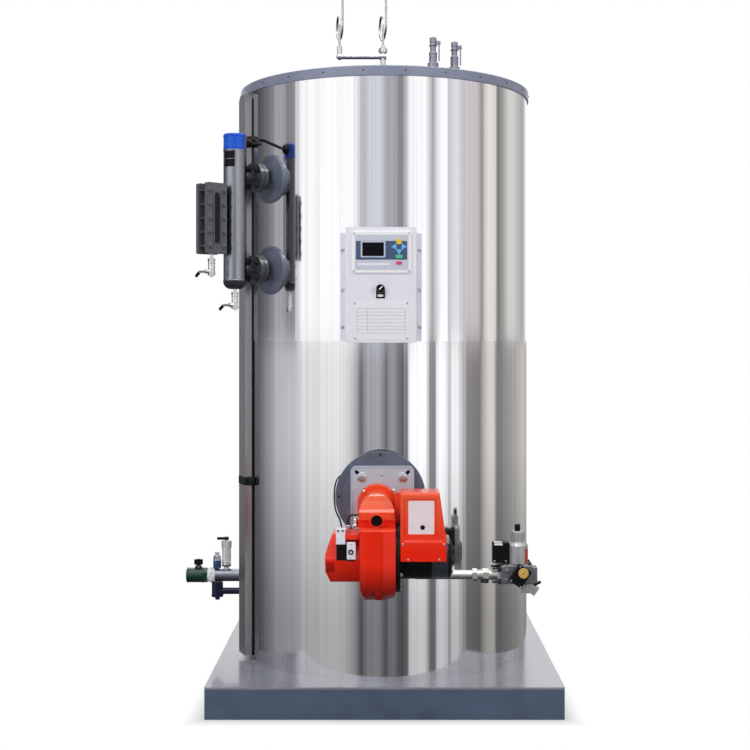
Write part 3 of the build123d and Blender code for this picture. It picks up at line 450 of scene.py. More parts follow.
def cable(name, points, diameter):
    line = bpy.data.curves.new(name, "CURVE")
    line.dimensions = "3D"
    spline = line.splines.new("NURBS")
    spline.points.add(len(points) - 1)
    for knot, at in zip(spline.points, points):
        knot.co = (*at, 1)
    spline.order_u = 3
    spline.use_endpoint_u = True
    spline.resolution_u = 12
    made = bpy.data.objects.new(name, line)
    bpy.context.scene.collection.objects.link(made)
    track = [v.co for v in bpy.data.meshes.new_from_object(made).vertices]
    line.bevel_depth = diameter / 2
    line.bevel_resolution = 4
    line.materials.append(RUBBER)
    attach(made, BODY)


# Cladding: seam, rim screws, painted shade beside the trunking, and ties

SHELL_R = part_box("cladding_upper")[1][0]
LAP_Z, RIM_LOW = 1.4, 2.398
SEAM_TURN, SEAM_HALF = radians(-33.8), radians(0.3)
RIM_SCREWS, RIM_SCREW_Z = 24, 2.417
TRUNK_TURN, TRUNK_R, TRUNK_HALF = radians(-65.7), 0.630, 0.040
TRUNK_OUT = Vector((sin(TRUNK_TURN), -cos(TRUNK_TURN), 0))
TRUNK_SIDE = Vector((cos(TRUNK_TURN), sin(TRUNK_TURN), 0))
# Each cable tie: the height of its middle, and how tall it is.
TIES = ((0.838, 0.034), (2.197, 0.042))


def round_shell():
    with Piece("cladding_seam", STEEL_UPPER, "cladding_steel") as seam:
        seam.wrap((0, 0), SHELL_R, SEAM_TURN - SEAM_HALF, SEAM_TURN + SEAM_HALF, LAP_Z, RIM_LOW, 0.0012)
    with Piece("rim_screws", BOLT_DARK, "lever_steel") as screws:
        for at in ring_of(RIM_SCREWS, SHELL_R + 0.006, (0, 0, RIM_SCREW_Z), UP, pi / RIM_SCREWS):
            screws.screw(0.003, at, Vector((at.x, at.y, 0)))


def trunking():
    low, high = (corner[2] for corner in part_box("cable_trunking"))
    # Painted shade: black strips on the shell along both sides of the trunking stand for the dark gap
    # beside it.
    with Piece("trunking_shade_strips", RUBBER, "black_plastic") as shade_strip:
        for side in (-1, 1):
            edge = TRUNK_TURN + side * TRUNK_HALF / SHELL_R
            shade_strip.wrap((0, 0), SHELL_R - 0.001, edge, edge + side * 0.012, low, high - 0.02, 0.0035)
    with Piece("trunking_ties", RUBBER, "black_plastic") as ties:
        for z, height in TIES:
            band = TRUNK_OUT * (TRUNK_R - 0.032) + UP * z
            knot = TRUNK_OUT * (SHELL_R - 0.002) + TRUNK_SIDE * 0.05 + UP * z
            ties.slab(2 * TRUNK_HALF + 0.004, height, 0.034, band, TRUNK_OUT, TRUNK_SIDE,
                      corner=0.003, bevel=0.003)
            ties.slab(0.022, height, 0.022, knot, TRUNK_OUT, TRUNK_SIDE, corner=0.006, bevel=0.004)


# Level column and gauge

JOINT_R = 0.668
NOZZLE_Z = (1.676, 2.033)
FLANGE_HALF, FLANGE_BOLT_R, FLANGE_BOLT = 0.019, 0.0425, 0.018
GASKET_R, GASKET = 0.0578, 0.0022
GAUGE_ROW, GAUGE_BOLT_OUT, GAUGE_FACE, CHAMBER_HALF = 0.052, 0.031, 0.038, 0.019
DISH_FLAT, DISH_KNUCKLE = 0.0165, 0.0285
COLUMN_SKIN = 0.0444
WELD = [(0.0443, 0), (0.0458, 0.001), (0.0462, 0.0025), (0.0458, 0.004), (0.0443, 0.005)]


def level_flanges():
    with Piece("flange_bolts", BOLT_DARK, "gauge_iron") as bolts:
        for z in NOZZLE_Z:
            for at in ring_of(4, FLANGE_BOLT_R, OUT * JOINT_R + UP * z, OUT, pi / 4):
                bolts.bolt(FLANGE_BOLT, at + OUT * FLANGE_HALF, OUT)
                bolts.bolt(FLANGE_BOLT, at - OUT * FLANGE_HALF, -OUT)
    with Piece("flange_gaskets", RUBBER, "black_plastic") as gaskets:
        for z in NOZZLE_Z:
            gaskets.disc(GASKET_R, GASKET, OUT * (JOINT_R - GASKET / 2) + UP * z, OUT, 48)


def level_gauge():
    with Piece("gauge_ribs", IRON, "gauge_iron") as ribs, Piece("gauge_bolts", IRON, "gauge_iron") as nuts:
        for row in range(-2, 3):
            for end in (-1, 1):
                at = OUT * (GAUGE_AT + end * GAUGE_BOLT_OUT) + UP * (gauge.z + GAUGE_ROW * row)
                foot = at + OUT * end * 0.002 - ACROSS * (CHAMBER_HALF + 0.0005)
                ribs.slab(0.02, 0.004, 2 * CHAMBER_HALF + 0.001, foot, ACROSS, OUT, corner=0.001)
                for way in (-ACROSS, ACROSS):
                    nuts.bolt(0.0125, at + way * GAUGE_FACE, way, head=0.008)
    panes = Piece("gauge_panes", GLASS_DARK, "sight_glass")
    with panes, Piece("gauge_window_frame", IRON, "gauge_iron") as frames:
        for way in (-ACROSS, ACROSS):
            at = OUT * GAUGE_AT + UP * gauge.z + way * GAUGE_FACE
            panes.slab(0.0238, 0.1918, 0.006, at - way * 0.0075, way, OUT, corner=0.0118, bevel=0.001)
            for out in (-0.015, 0.015):
                frames.slab(0.004, 0.2, 0.003, at + OUT * out, way, OUT, corner=0.002, bevel=0.001)


def water_column():
    low, high = (corner[2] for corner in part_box("level_column"))
    with Piece("column_dish", BOLT_DARK, "column_steel") as dish:
        knuckle = [(DISH_FLAT + DISH_KNUCKLE * sin(a), DISH_KNUCKLE * (1 - cos(a)) - 0.0005)
                   for a in (pi / 12 * i for i in range(7))]
        dish.lathe(knuckle + [(DISH_FLAT + DISH_KNUCKLE, 0.03)], (column.x, column.y, low), UP, 48)
    with Piece("column_welds", COLUMN, "column_steel") as welds:
        for z in (low + 0.03, high - 0.003):
            welds.lathe(WELD, (column.x, column.y, z), UP, 48)
    with Piece("column_plates", BLACK, "black_plastic") as plates:
        for z in (2.062, 2.093):
            plates.wrap((column.x, column.y), COLUMN_SKIN, radians(-52), radians(6), z, z + 0.029, 0.0008)


def electrode_cap():
    low, high = (corner[2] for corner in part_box("electrode_cap"))
    with Piece("cap_lips", CAP_BLUE, "cap_blue") as lips:
        for z in (low + 0.006, high - 0.012):
            lips.collar(0.0455, 0.005, (column.x, column.y, z), UP, 48)
    back = Vector((0.72, 0.69, 0)).normalized()
    at = Vector((column.x, column.y, low + 0.036))
    with Piece("cap_gland", BLACK, "black_plastic") as gland:
        gland.lathe([(0.021, 0.038), (0.021, 0.054), (0.017, 0.057), (0.017, 0.069), (0.012, 0.074)],
                    at, back, 24)
    start = at + back * 0.072
    end = TRUNK_OUT * (TRUNK_R - 0.015) + TRUNK_SIDE * 0.06 + UP * 2.2
    cable("cap_lead", [start, start + back * 0.03, start + back * 0.06 + UP * 0.004,
                       end + TRUNK_SIDE * 0.03 + UP * 0.004, end], 0.012)


LEVER_DROP = radians(31)
COCKS = (("gauge_drain_lever", GAUGE_AT, 1.661), ("column_drain_lever", COLUMN_AT, 1.537))


def cock_grips():
    down = -ACROSS * cos(LEVER_DROP) - UP * sin(LEVER_DROP)
    for name, at, z in COCKS:
        pivot = OUT * at + UP * z
        with Piece(name + "_grip", BLACK, "black_plastic", name + "_body") as grip:
            end = pivot - ACROSS * 0.023 + down * 0.0182 + OUT * 0.0338
            grip.slab(0.03, 0.0115, 0.0055, end, OUT, down, corner=0.004, bevel=0.001)
        with Piece(name + "_rings", CHROME, "chrome_fitting") as rings:
            for rise in (0.012, 0.03):
                rings.collar(0.0142, 0.004, pivot + UP * rise, UP, lip=0.0014)


# Control box: screws, screen, keys, selector and rating plate

BOX_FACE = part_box("selector_knob")[0][1] + 0.0205
WING_FACE = -0.606
SCREEN_LOW, SCREEN_HIGH = (Vector(corner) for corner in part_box("control_screen_panel"))
SCREEN_FACE = SCREEN_LOW.y
PLATE_X, PLATE_Z, PLATE_W, PLATE_H = -0.01225, 1.4758, 0.1991, 0.1384
PLATE_INSET = 0.005
# Each patch of the screen: left, right, bottom, top, height over the panel, thickness and corner.
SCREEN_PATCHES = (
    ("screen_membrane", MEMBRANE, -0.108, 0.0872, 1.661, 1.7895, 0.0, 0.0006, 0.004),
    ("screen_band", BAND_BLUE, -0.1043, 0.0824, 1.698, 1.7662, 0.0006, 0.0006, 0.0),
    ("screen_frame", MEMBRANE, -0.0868, 0.0034, 1.7062, 1.7652, 0.0012, 0.002, 0.003),
    ("screen_display", SCREEN_BLACK, -0.081, -0.0022, 1.7108, 1.7608, 0.0032, 0.0006, 0.001),
    ("screen_strip", BOX, -0.098, 0.018, 1.676, 1.686, 0.0006, 0.0004, 0.003),
)
# Each key: the height of its centre, width, height and corner. They stand in one column.
KEYS_X = 0.0529
KEYS = (
    ("key_round", KEY_YELLOW, 1.764, 0.022, 0.021, 0.0101),
    ("key_green", KEY_GREEN, 1.7093, 0.028, 0.014, 0.0065),
    ("key_red", KEY_RED, 1.6856, 0.022, 0.012, 0.0056),
)
ARROWS = ((0.037, 1.745, 180), (0.069, 1.745, 0), (KEYS_X, 1.7285, -90))
ARROW_R = 0.0135


def box_screws():
    across, rise = PLATE_W / 2 - PLATE_INSET, PLATE_H / 2 - PLATE_INSET
    with Piece("box_screws", BOLT, "lever_steel") as screws:
        for r, y, xs, zs in (
            (0.0065, WING_FACE, (-0.1565, 0.1312), (1.7415, 1.5916, 1.453)),
            (0.004, BOX_FACE - 0.001, (PLATE_X - across, PLATE_X + across),
             (PLATE_Z - rise, PLATE_Z + rise)),
            (0.0035, SCREEN_FACE, (SCREEN_LOW.x + 0.009, SCREEN_HIGH.x - 0.009),
             (SCREEN_LOW.z + 0.008, SCREEN_HIGH.z - 0.008)),
        ):
            for x in xs:
                for z in zs:
                    screws.screw(r, (x, y, z), FRONT)


def screen():
    for name, finish, left, right, low, high, start, depth, corner in SCREEN_PATCHES:
        with Piece(name, finish, "screen_plastic") as patch:
            at = ((left + right) / 2, SCREEN_FACE - start, (low + high) / 2)
            patch.tile(right - left, high - low, depth, at, corner, bevel=0.0002)
    for name, finish, z, width, height, corner in KEYS:
        with Piece(name, finish, "screen_plastic") as key:
            key.tile(width, height, 0.003, (KEYS_X, SCREEN_FACE - 0.0006, z), corner, bevel=0.0008)
    with Piece("key_arrows", KEY_BLUE, "screen_plastic") as arrows:
        triangle = [(ARROW_R * cos(a), ARROW_R * sin(a)) for a in (0, 2 * pi / 3, 4 * pi / 3)]
        for x, z, turn in ARROWS:
            at = (x, SCREEN_FACE - 0.0012, z)
            arrows.prism(triangle, 0.0028, at, FRONT, heading_at(turn), bevel=0.0006)


def selector():
    knob = middle("selector_knob")
    knob_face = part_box("selector_knob")[0][1]
    with Piece("selector_legend", BLACK, "black_plastic") as legend:
        half, foot = 0.0163, -0.0357
        arch = [(half * cos(pi / 16 * i), half * sin(pi / 16 * i)) for i in range(17)]
        legend.prism(arch + [(-half, foot), (half, foot)], 0.0012, (knob.x, BOX_FACE, knob.z), FRONT, RIGHT,
                     bevel=0.0004)
    with Piece("selector_insert", WHITE, "screen_plastic") as insert:
        insert.tile(0.02, 0.009, 0.0006, (knob.x, BOX_FACE - 0.0012, 1.5672), corner=0.001)
    with Piece("selector_grip", BLACK, "black_plastic", "selector_knob_body") as grip:
        for at in ring_of(24, 0.0145, (knob.x, knob_face + 0.0135, knob.z), FRONT):
            grip.disc(0.0011, 0.0115, at, FRONT, 6)
    with Piece("selector_pointer", WHITE, "screen_plastic", "selector_knob_body") as pointer:
        pointer.slab(0.018, 0.0045, 0.0006, (knob.x + 0.001, knob_face + 0.0001, knob.z + 0.002), FRONT,
                     (0.7, 0, 0.71), corner=0.001)


def rating_plate():
    with Piece("rating_plate", PLATE, "box_paint") as plate:
        plate.tile(PLATE_W, PLATE_H, 0.001, (PLATE_X, BOX_FACE, PLATE_Z), corner=0.003, bevel=0.0003)
    with Piece("rating_plate_rules", INK, "box_paint") as rules:
        rows = [1.5195 - 0.0128 * i for i in range(8)]
        for z in rows:
            rules.tile(0.178, 0.0012, 0.0003, (-0.0122, BOX_FACE - 0.001, z))
        for x in (-0.1012, -0.062, 0.0768):
            rules.tile(0.0012, rows[0] - rows[-1], 0.0003, (x, BOX_FACE - 0.001, (rows[0] + rows[-1]) / 2))


# Burner

RING_AT, RING_SCREW_R = (-0.015, -0.640, 0.823), 0.155
FLANGE_AT, FLANGE_STUD_R, SLOT_R = Vector((-0.008, -0.658, 0.820)), 0.108, 0.1222
RIM_FACE = -0.694
PORT_AT = (-0.028, -0.8445, 0.764)
VOLUTE_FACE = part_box("fan_volute")[0][1] + 0.0062
SEAM_X, FAN_Y, FAN_Z = 0.0565, -0.7787, 0.621


def burner():
    with Piece("mount_ring_screws", BOLT_DARK, "cover_paint") as screws:
        for at in ring_of(4, RING_SCREW_R, RING_AT, FRONT):
            screws.screw(0.005, at, FRONT)
    with Piece("burner_plate_bolts", BOLT, "burner_aluminium") as bolts:
        for at in ring_of(4, FLANGE_STUD_R, FLANGE_AT, FRONT, pi / 4):
            bolts.bolt(0.019, at, FRONT)
        bolts.screw(0.005, (-0.0093, FLANGE_AT.y, 0.905), FRONT)
    # Painted shade: black sheets on the plate stand for the dark openings of its slots.
    with Piece("burner_plate_slot_shades", BLACK, "black_plastic") as slot_shades:
        seat = FLANGE_AT - FRONT * 0.0039
        for at in ring_of(4, SLOT_R, seat, FRONT, pi / 4):
            slot_shades.slab(0.039, 0.012, 0.0006, at, FRONT, at - seat, corner=0.0058)
    with Piece("burner_head_pins", CHROME, "chrome_fitting") as pins:
        for x, z in ((-0.0755, 0.8485), (0.0335, 0.8505)):
            pins.screw(0.0065, (x, RIM_FACE + 0.004, z), FRONT)
            pins.lathe([(0.004, 0), (0.004, 0.016), (0.003, 0.018)], (x, RIM_FACE + 0.004, z), FRONT, 16)
    # Painted shade: a black disc inside the port stands for its dark bore.
    with Piece("burner_port_shade", BLACK, "black_plastic") as port_shade:
        port_shade.disc(0.0203, 0.001, PORT_AT, FRONT, 40)
    with Piece("volute_boss", ORANGE, "burner_orange") as boss:
        boss.tile(0.021, 0.022, 0.006, (-0.0245, VOLUTE_FACE, 0.727), corner=0.005, bevel=0.002)
    with Piece("volute_flange_bolts", BOLT, "burner_orange") as bolts:
        for at in ring_of(8, 0.112, (SEAM_X, FAN_Y, FAN_Z), RIGHT, pi / 8):
            bolts.bolt(0.010, at, RIGHT)


# Air intake: terminal box, pressure switch and its leads

DIAL_AT = Vector((-0.118, -0.8957, 0.6605))
FITTING_AT, PORT_NUT_AT = Vector((-0.1055, -0.846, 0.7395)), Vector((-0.130, -0.862, 0.739))
LEAD = 0.006


def air_side():
    with Piece("switch_terminal_box", BOX, "box_paint") as box:
        box.tile(0.0335, 0.0555, 0.0879, (-0.1545, -0.7978, 0.71225), corner=0.003, bevel=0.002)
    with Piece("switch_dial_unit", BOX, "box_paint") as unit:
        unit.tile(0.032, 0.061, 0.03, (-0.117, -0.8657, 0.664), corner=0.004, bevel=0.002)
    with Piece("switch_dial", BLACK, "black_plastic") as dial:
        dial.lathe([(0.009, 0), (0.009, 0.004), (0.008, 0.005)], DIAL_AT, FRONT, 28)
        for x in (-0.1625, -0.147):
            dial.screw(0.0035, (x, -0.8857, 0.7335), FRONT)
    with Piece("switch_dial_marks", MEMBRANE, "screen_plastic") as marks:
        marks.disc(0.0042, 0.0006, DIAL_AT + FRONT * 0.005, FRONT, 20)
        for z in (0.6405, 0.6865):
            marks.screw(0.003, (DIAL_AT.x, DIAL_AT.y, z), FRONT)
    with Piece("switch_bracket", RED, "burner_orange") as bracket:
        bracket.tile(0.047, 0.018, 0.05, (-0.1145, -0.84, 0.712), corner=0.003, bevel=0.002)
    with Piece("air_fitting", CHROME, "chrome_fitting") as elbow:
        elbow.hex(0.018, 0.012, FITTING_AT, UP)
        elbow.lathe([(0.0075, 0), (0.0075, 0.018), (0.006, 0.02), (0.006, 0.026)],
                    FITTING_AT + UP * 0.011, UP, 20)
        elbow.hex(0.014, 0.012, PORT_NUT_AT, UP)
    cable("burner_lead", [(-0.152, -0.845, 0.7395), (-0.156, -0.842, 0.765), (-0.176, -0.80, 0.79),
                          (-0.184, -0.73, 0.83), (-0.184, -0.67, 0.865), (-0.176, -0.636, 0.89),
                          (-0.166, -0.605, 0.895)], LEAD)
    cable("switch_lead", [(-0.130, -0.862, 0.7505), (-0.130, -0.862, 0.77), (-0.122, -0.858, 0.783),
                          (-0.108, -0.85, 0.786), (-0.091, -0.84, 0.782)], LEAD)


# Burner cover and fan motor

MOTOR_FINS, FIN_STEP, FINS_FROM = 9, 0.0112, 0.064


def burner_cover():
    with Piece("cover_label", LABEL, "screen_plastic") as label:
        label.tile(0.0915, 0.118, 0.0006, (0.1295, -0.8837, 0.7805), corner=0.003, bevel=0.0002)
    with Piece("cover_reset_button", BLACK, "black_plastic") as reset:
        reset.lathe([(0.008, 0), (0.008, 0.002), (0.006, 0.0035)], (0.134, -0.8843, 0.7455), FRONT)
    with Piece("cover_screws", BOLT, "burner_red") as screws:
        for x, z in ((0.083, 0.634), (0.192, 0.634), (0.064, 0.688), (0.209, 0.688)):
            screws.screw(0.004, (x, -0.8967, z), FRONT)
    with Piece("cover_connector", CONNECTOR, "burner_aluminium") as plug:
        plug.slab(0.046, 0.07, 0.014, (0.217, -0.80, 0.668), RIGHT, FRONT, corner=0.003, bevel=0.002)
        plug.hex(0.016, 0.012, (0.226, -0.80, 0.633), -UP)


def fan_motor():
    with Piece("motor_fins", MOTOR, "motor_black") as fins:
        for i in range(MOTOR_FINS):
            at = (FINS_FROM + FIN_STEP * i, FAN_Y, FAN_Z)
            fins.collar(0.0768, 0.004, at, RIGHT, 64, lip=0.0023, ease=0.0006)
    with Piece("motor_end", BELL, "motor_black") as end:
        end.collar(0.0752, 0.008, (0.168, FAN_Y, FAN_Z), RIGHT, 64, lip=0.0019)
        end.lathe([(0.05, 0), (0.048, 0.002), (0.02, 0.003)], (0.2398, FAN_Y, FAN_Z), RIGHT, 48)
        for at in ring_of(4, 0.062, (0.238, FAN_Y, FAN_Z), RIGHT, pi / 4):
            end.bolt(0.009, at, RIGHT)
    with Piece("motor_bell_shade", BELL, "motor_black") as bell:
        bell.disc(0.0736, 0.05, (0.176, FAN_Y, FAN_Z), RIGHT, 64)


# Gas train

GAS_Y, GAS_Z, COIL_X = -0.68085, 0.540, 0.490
GAS_FLANGE_X = 0.4265
# The bare threads stand on both sides of the union nut.
THREADS, THREAD_STEP = ((0.342, 4), (0.386, 6)), 0.0045
REGULATOR_ALONG, REGULATOR_UP = heading_at(-34), heading_at(56)


def gas_union():
    with Piece("union_plug", BOLT_DARK, "motor_black") as plug:
        plug.hex(0.026, 0.017, (0.3685, GAS_Y - 0.008, 0.5275), (0, -0.2, -1))
    with Piece("union_threads", NICKEL, "gas_union_zinc") as threads:
        for start, count in THREADS:
            for i in range(count):
                at = (start + THREAD_STEP * i, GAS_Y, GAS_Z)
                threads.collar(0.0203, 0.0028, at, RIGHT, 40, lip=0.0015, ease=0.0012)


def gas_valve():
    with Piece("valve_flange", CAST, "gas_valve_alloy") as flange:
        flange.slab(0.066, 0.07, 0.009, (GAS_FLANGE_X + 0.009, GAS_Y, GAS_Z + 0.004), -RIGHT, FRONT,
                    corner=0.008, bevel=0.0015)
    with Piece("valve_studs", BOLT_DARK, "motor_black") as studs:
        for y in (-0.024, 0.024):
            for z in (-0.022, 0.027):
                at = (GAS_FLANGE_X, GAS_Y + y, GAS_Z + z)
                studs.bolt(0.013, at, -RIGHT, head=0.01)
                studs.lathe([(0.004, 0), (0.004, 0.031), (0.003, 0.032)], at, -RIGHT, 12)
        for x in (0.4445, 0.5325):
            for y in (-0.027, 0.027):
                studs.bolt(0.009, (x, GAS_Y + y, GAS_Z + 0.044), UP)
    with Piece("valve_pads", CAST, "gas_valve_alloy") as pads:
        for r, z in ((0.0085, 0.02), (0.0075, -0.012)):
            at = (0.4475, GAS_Y - 0.036, GAS_Z + z)
            pads.lathe([(r, 0), (r, 0.004), (r - 0.0015, 0.005)], at, FRONT, 28)


def solenoid():
    with Piece("solenoid_knurl", CAST_LIGHT, "gas_valve_alloy") as crown:
        for at in ring_of(22, 0.0248, (COIL_X, GAS_Y, 0.667), UP):
            crown.disc(0.0018, 0.029, at, UP, 6)
        for at in ring_of(12, 0.0308, (COIL_X, GAS_Y, 0.6575), UP):
            crown.lathe([(0.0026, 0), (0.0026, 0.002), (0.0015, 0.003)], at, UP, 10)
    with Piece("solenoid_knob", BLACK, "black_plastic") as knob:
        knob.lathe([(0.0103, 0), (0.0103, 0.0237), (0.0092, 0.0247)], (COIL_X, GAS_Y, 0.7018), UP)
    with Piece("solenoid_tag", TAG_RED, "burner_red") as tag:
        tag.wrap((COIL_X, GAS_Y), 0.0379, radians(40), radians(100), 0.587, 0.638, 0.0006)
    with Piece("connector_label", WHITE, "screen_plastic") as strip:
        strip.tile(0.03, 0.008, 0.0008, (0.418, GAS_Y - 0.022, 0.6555), corner=0.001)
        strip.slab(0.03, 0.03, 0.0008, (0.418, GAS_Y, 0.6598), UP, RIGHT, corner=0.001)
    with Piece("connector_screws", BOLT, "lever_steel") as screws:
        for x in (0.4035, 0.4455):
            screws.screw(0.0035, (x, GAS_Y - 0.022, 0.5935), FRONT)


def pressure_switch():
    face = Vector((0.504, GAS_Y - 0.074, 0.559))
    with Piece("pressure_dial", YELLOW, "gas_union_zinc") as dial:
        dial.lathe([(0.0185, 0), (0.0185, 0.0015), (0.0165, 0.003), (0.0165, 0.0036)], face, FRONT, 40)
    with Piece("pressure_dial_marks", BLACK, "black_plastic") as marks:
        for at in ring_of(12, 0.0138, face + FRONT * 0.0036, FRONT):
            marks.slab(0.0032, 0.0011, 0.0003, at, FRONT, at - face)
        marks.slab(0.012, 0.0024, 0.0008, face + FRONT * 0.0036, FRONT, (0.6, 0, 0.8))
    with Piece("pressure_switch_screws", BOLT, "lever_steel") as screws:
        at = Vector((0.494, GAS_Y - 0.068, 0.545))
        for a, b in ((-1, -1), (1, -1), (-1, 1)):
            screws.screw(0.003, at + REGULATOR_ALONG * a * 0.021 + REGULATOR_UP * b * 0.03, FRONT)


def gas_regulator():
    with Piece("regulator_knob", BLACK, "black_plastic") as knob:
        knob.lathe([(0.0055, 0), (0.0055, 0.026), (0.0045, 0.028)], (0.5475, GAS_Y - 0.0225, 0.5065),
                   (0.87, 0, 0.4), 20)
    with Piece("regulator_collar", CAST_LIGHT, "gas_valve_alloy") as collar:
        collar.slab(0.049, 0.053, 0.004, Vector((0.539, GAS_Y, 0.493)) + REGULATOR_UP * 0.004,
                    REGULATOR_UP, REGULATOR_ALONG, corner=0.004, bevel=0.001)


# Feed group

FEED_Y, FEED_Z = 0.054, 0.395
CHECK_X, VENT_X, STOP_X = -0.717, -0.677, -0.797


def feed_group():
    with Piece("check_valve_cap", CHROME, "chrome_fitting") as cap:
        cap.hex(0.0268, 0.0143, (CHECK_X, FEED_Y, 0.4649), UP)
        cap.lathe([(0.0093, 0), (0.0093, 0.0155), (0.008, 0.0163)], (CHECK_X, FEED_Y, 0.479), UP, 24)
        cap.collar(0.0185, 0.006, (CHECK_X, FEED_Y, 0.458), UP, lip=0.0013)
    with Piece("stop_valve_bonnet", BOLT_DARK, "black_plastic") as bonnet:
        bonnet.lathe([(0.0165, 0), (0.0165, 0.004), (0.0125, 0.009), (0.0095, 0.0145)],
                     (STOP_X, FEED_Y, 0.4245), UP)
    with Piece("stop_valve_collars", GREEN, "valve_green") as rings:
        for x, r in ((-0.7795, 0.0325), (-0.8445, 0.0322)):
            rings.collar(r, 0.007, (x, FEED_Y, FEED_Z), RIGHT, 56, lip=0.0015)
    with Piece("union_nut", WHITE, "feed_union_white") as nut:
        nut.hex(0.0575, 0.013, (-0.746, FEED_Y, FEED_Z), RIGHT)
    with Piece("vent_seat", BOLT_DARK, "black_plastic") as seat:
        seat.lathe([(0.0195, 0), (0.0195, 0.006), (0.0175, 0.008)], (VENT_X, FEED_Y, 0.434), UP, 36)
    with Piece("vent_rings", CHROME, "chrome_fitting") as rings:
        for z in (0.446, 0.452, 0.506):
            rings.collar(0.0202, 0.0038, (VENT_X, FEED_Y, z), UP, 36, lip=0.0014)
        rings.hex(0.014, 0.006, (VENT_X, FEED_Y, 0.5568), UP)
    with Piece("strainer_collar", NAVY, "strainer_blue") as ring:
        ring.collar(0.0255, 0.009, (-0.716, FEED_Y, 0.305), UP, 40)
    with Piece("feed_weld", FEED, "feed_pipe_steel") as weld:
        weld.lathe([(0.0265, 0), (0.031, 0.002), (0.031, 0.006), (0.0265, 0.012)],
                   (-0.608, FEED_Y, FEED_Z), -RIGHT, 40)


# Pressure gauge, controller and safety valves on the top

GAUGE_MARKS, LONG_EVERY = 31, 5
SAFETY_AT = ((0.194, -0.296), (0.284, -0.219))


def top_gauge():
    face = Vector((middle("pressure_gauge").x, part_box("pressure_gauge")[0][1] + 0.004, 2.88))
    with Piece("gauge_dial", WHITE, "screen_plastic") as dial:
        dial.disc(0.0455, 0.0006, face, FRONT, 48)
    with Piece("gauge_marks", BLACK, "black_plastic") as marks:
        for i in range(GAUGE_MARKS):
            heading = heading_at(225 - 9 * i)
            length, width, out = (0.004, 0.0007, 0.039) if i % LONG_EVERY else (0.008, 0.0014, 0.037)
            marks.slab(length, width, 0.0003, face + FRONT * 0.0006 + heading * out, FRONT, heading)
        needle = [(-0.012, 0.0022), (-0.012, -0.0022), (0.033, -0.0005), (0.033, 0.0005)]
        marks.prism(needle, 0.0008, face + FRONT * 0.0014, FRONT, heading_at(200))
        marks.lathe([(0.004, 0), (0.004, 0.002), (0.003, 0.0025)], face + FRONT * 0.0006, FRONT, 20)


def controller():
    case = middle("pressure_controller")
    face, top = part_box("pressure_controller")[0][1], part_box("pressure_controller")[1][2]
    at = Vector((case.x, face, case.z + 0.018))
    with Piece("controller_plate", PLATE, "box_paint") as plate:
        plate.tile(0.05, 0.058, 0.0008, at, corner=0.003, bevel=0.0002)
    with Piece("controller_window", SCREEN_BLACK, "black_plastic") as window:
        window.tile(0.014, 0.044, 0.0006, at + FRONT * 0.0008, corner=0.002)
    with Piece("controller_screws", STEEL, "lever_steel") as screws:
        for side in (-1, 1):
            screws.screw(0.006, (case.x + side * 0.014, case.y, top), UP)
            screws.screw(0.003, (case.x + side * 0.027, face, case.z - 0.034), FRONT)


def safety_bands():
    with Piece("safety_valve_bands", SAFETY, "fitting_brass") as bands:
        for at in SAFETY_AT:
            for z in (2.502, 2.545, 2.578):
                bands.collar(0.0172, 0.004, (*at, z), UP)


dress_nodes()
round_shell()
trunking()
level_flanges()
level_gauge()
water_column()
electrode_cap()
cock_grips()
box_screws()
screen()
selector()
rating_plate()
burner()
air_side()
burner_cover()
fan_motor()
gas_union()
gas_valve()
solenoid()
pressure_switch()
gas_regulator()
feed_group()
top_gauge()
controller()
safety_bands()


# Studio world

NEUTRAL, COOL, SKY = (1, 1, 1), (0.94, 0.94, 1.0), (0.88, 0.92, 1.0)
PINK, BEIGE = (1.0, 0.92, 0.93), (1.0, 0.96, 0.9)
PEAK = 1.4
# Studio panels round the boiler: azimuth from the front towards the right, brightness and tint.
# The panels above eye level show in the upper course and the ones below it in the lower course.
HIGH_PANELS = [
    (-160, 1.2, NEUTRAL), (-136, 0.38, COOL), (-127, 0.04, COOL), (-101, 0.22, COOL),
    (-95, 0.42, COOL), (-87, 0.42, COOL), (-82, 0.25, COOL), (-75, 0.3, COOL), (-68, 1.1, NEUTRAL),
    (-25, 1.12, NEUTRAL), (-16, 0.55, COOL), (-10, 0.8, SKY), (-4, 0.8, SKY), (2, 0.48, COOL),
    (8, 0.46, COOL), (13, 0.25, COOL), (21, 1.08, NEUTRAL), (33, 1.12, NEUTRAL), (38, 0.32, COOL),
    (43, 1.12, NEUTRAL), (49, 1.15, NEUTRAL), (52, 0.6, COOL), (57, 0.9, NEUTRAL), (63, 0.68, PINK),
    (78, 0.7, PINK), (82, 0.3, PINK), (87, 0.86, BEIGE), (96, 0.84, BEIGE), (101, 0.2, NEUTRAL),
    (118, 0.78, BEIGE), (146, 0.4, NEUTRAL), (162, 1.2, NEUTRAL),
]
LOW_PANELS = [
    (-134, 0.45, NEUTRAL), (-127, 0.07, COOL), (-118, 0.17, COOL), (-101, 0.44, COOL), (-94, 0.62, COOL),
    (-72, 0.72, COOL), (-66, 0.9, NEUTRAL), (-34, 0.98, NEUTRAL), (-26, 0.72, NEUTRAL), (-18, 0.15, COOL),
    (-13, 0.45, COOL), (-4, 0.5, COOL), (1, 0.18, COOL), (6, 0.42, COOL), (13, 0.14, COOL),
    (17, 0.25, COOL), (19, 1.35, NEUTRAL), (33, 1.35, NEUTRAL), (35, 0.32, COOL), (40, 0.32, COOL),
    (42, 1.3, NEUTRAL), (49, 1.35, NEUTRAL), (52, 0.55, COOL), (55, 1.2, NEUTRAL), (59, 1.15, NEUTRAL),
    (67, 0.32, PINK), (81, 0.25, COOL), (87, 0.75, BEIGE), (95, 0.9, BEIGE), (100, 0.24, NEUTRAL),
    (146, 0.65, BEIGE), (168, 0.45, NEUTRAL),
]
EYE_LEVEL = -0.005
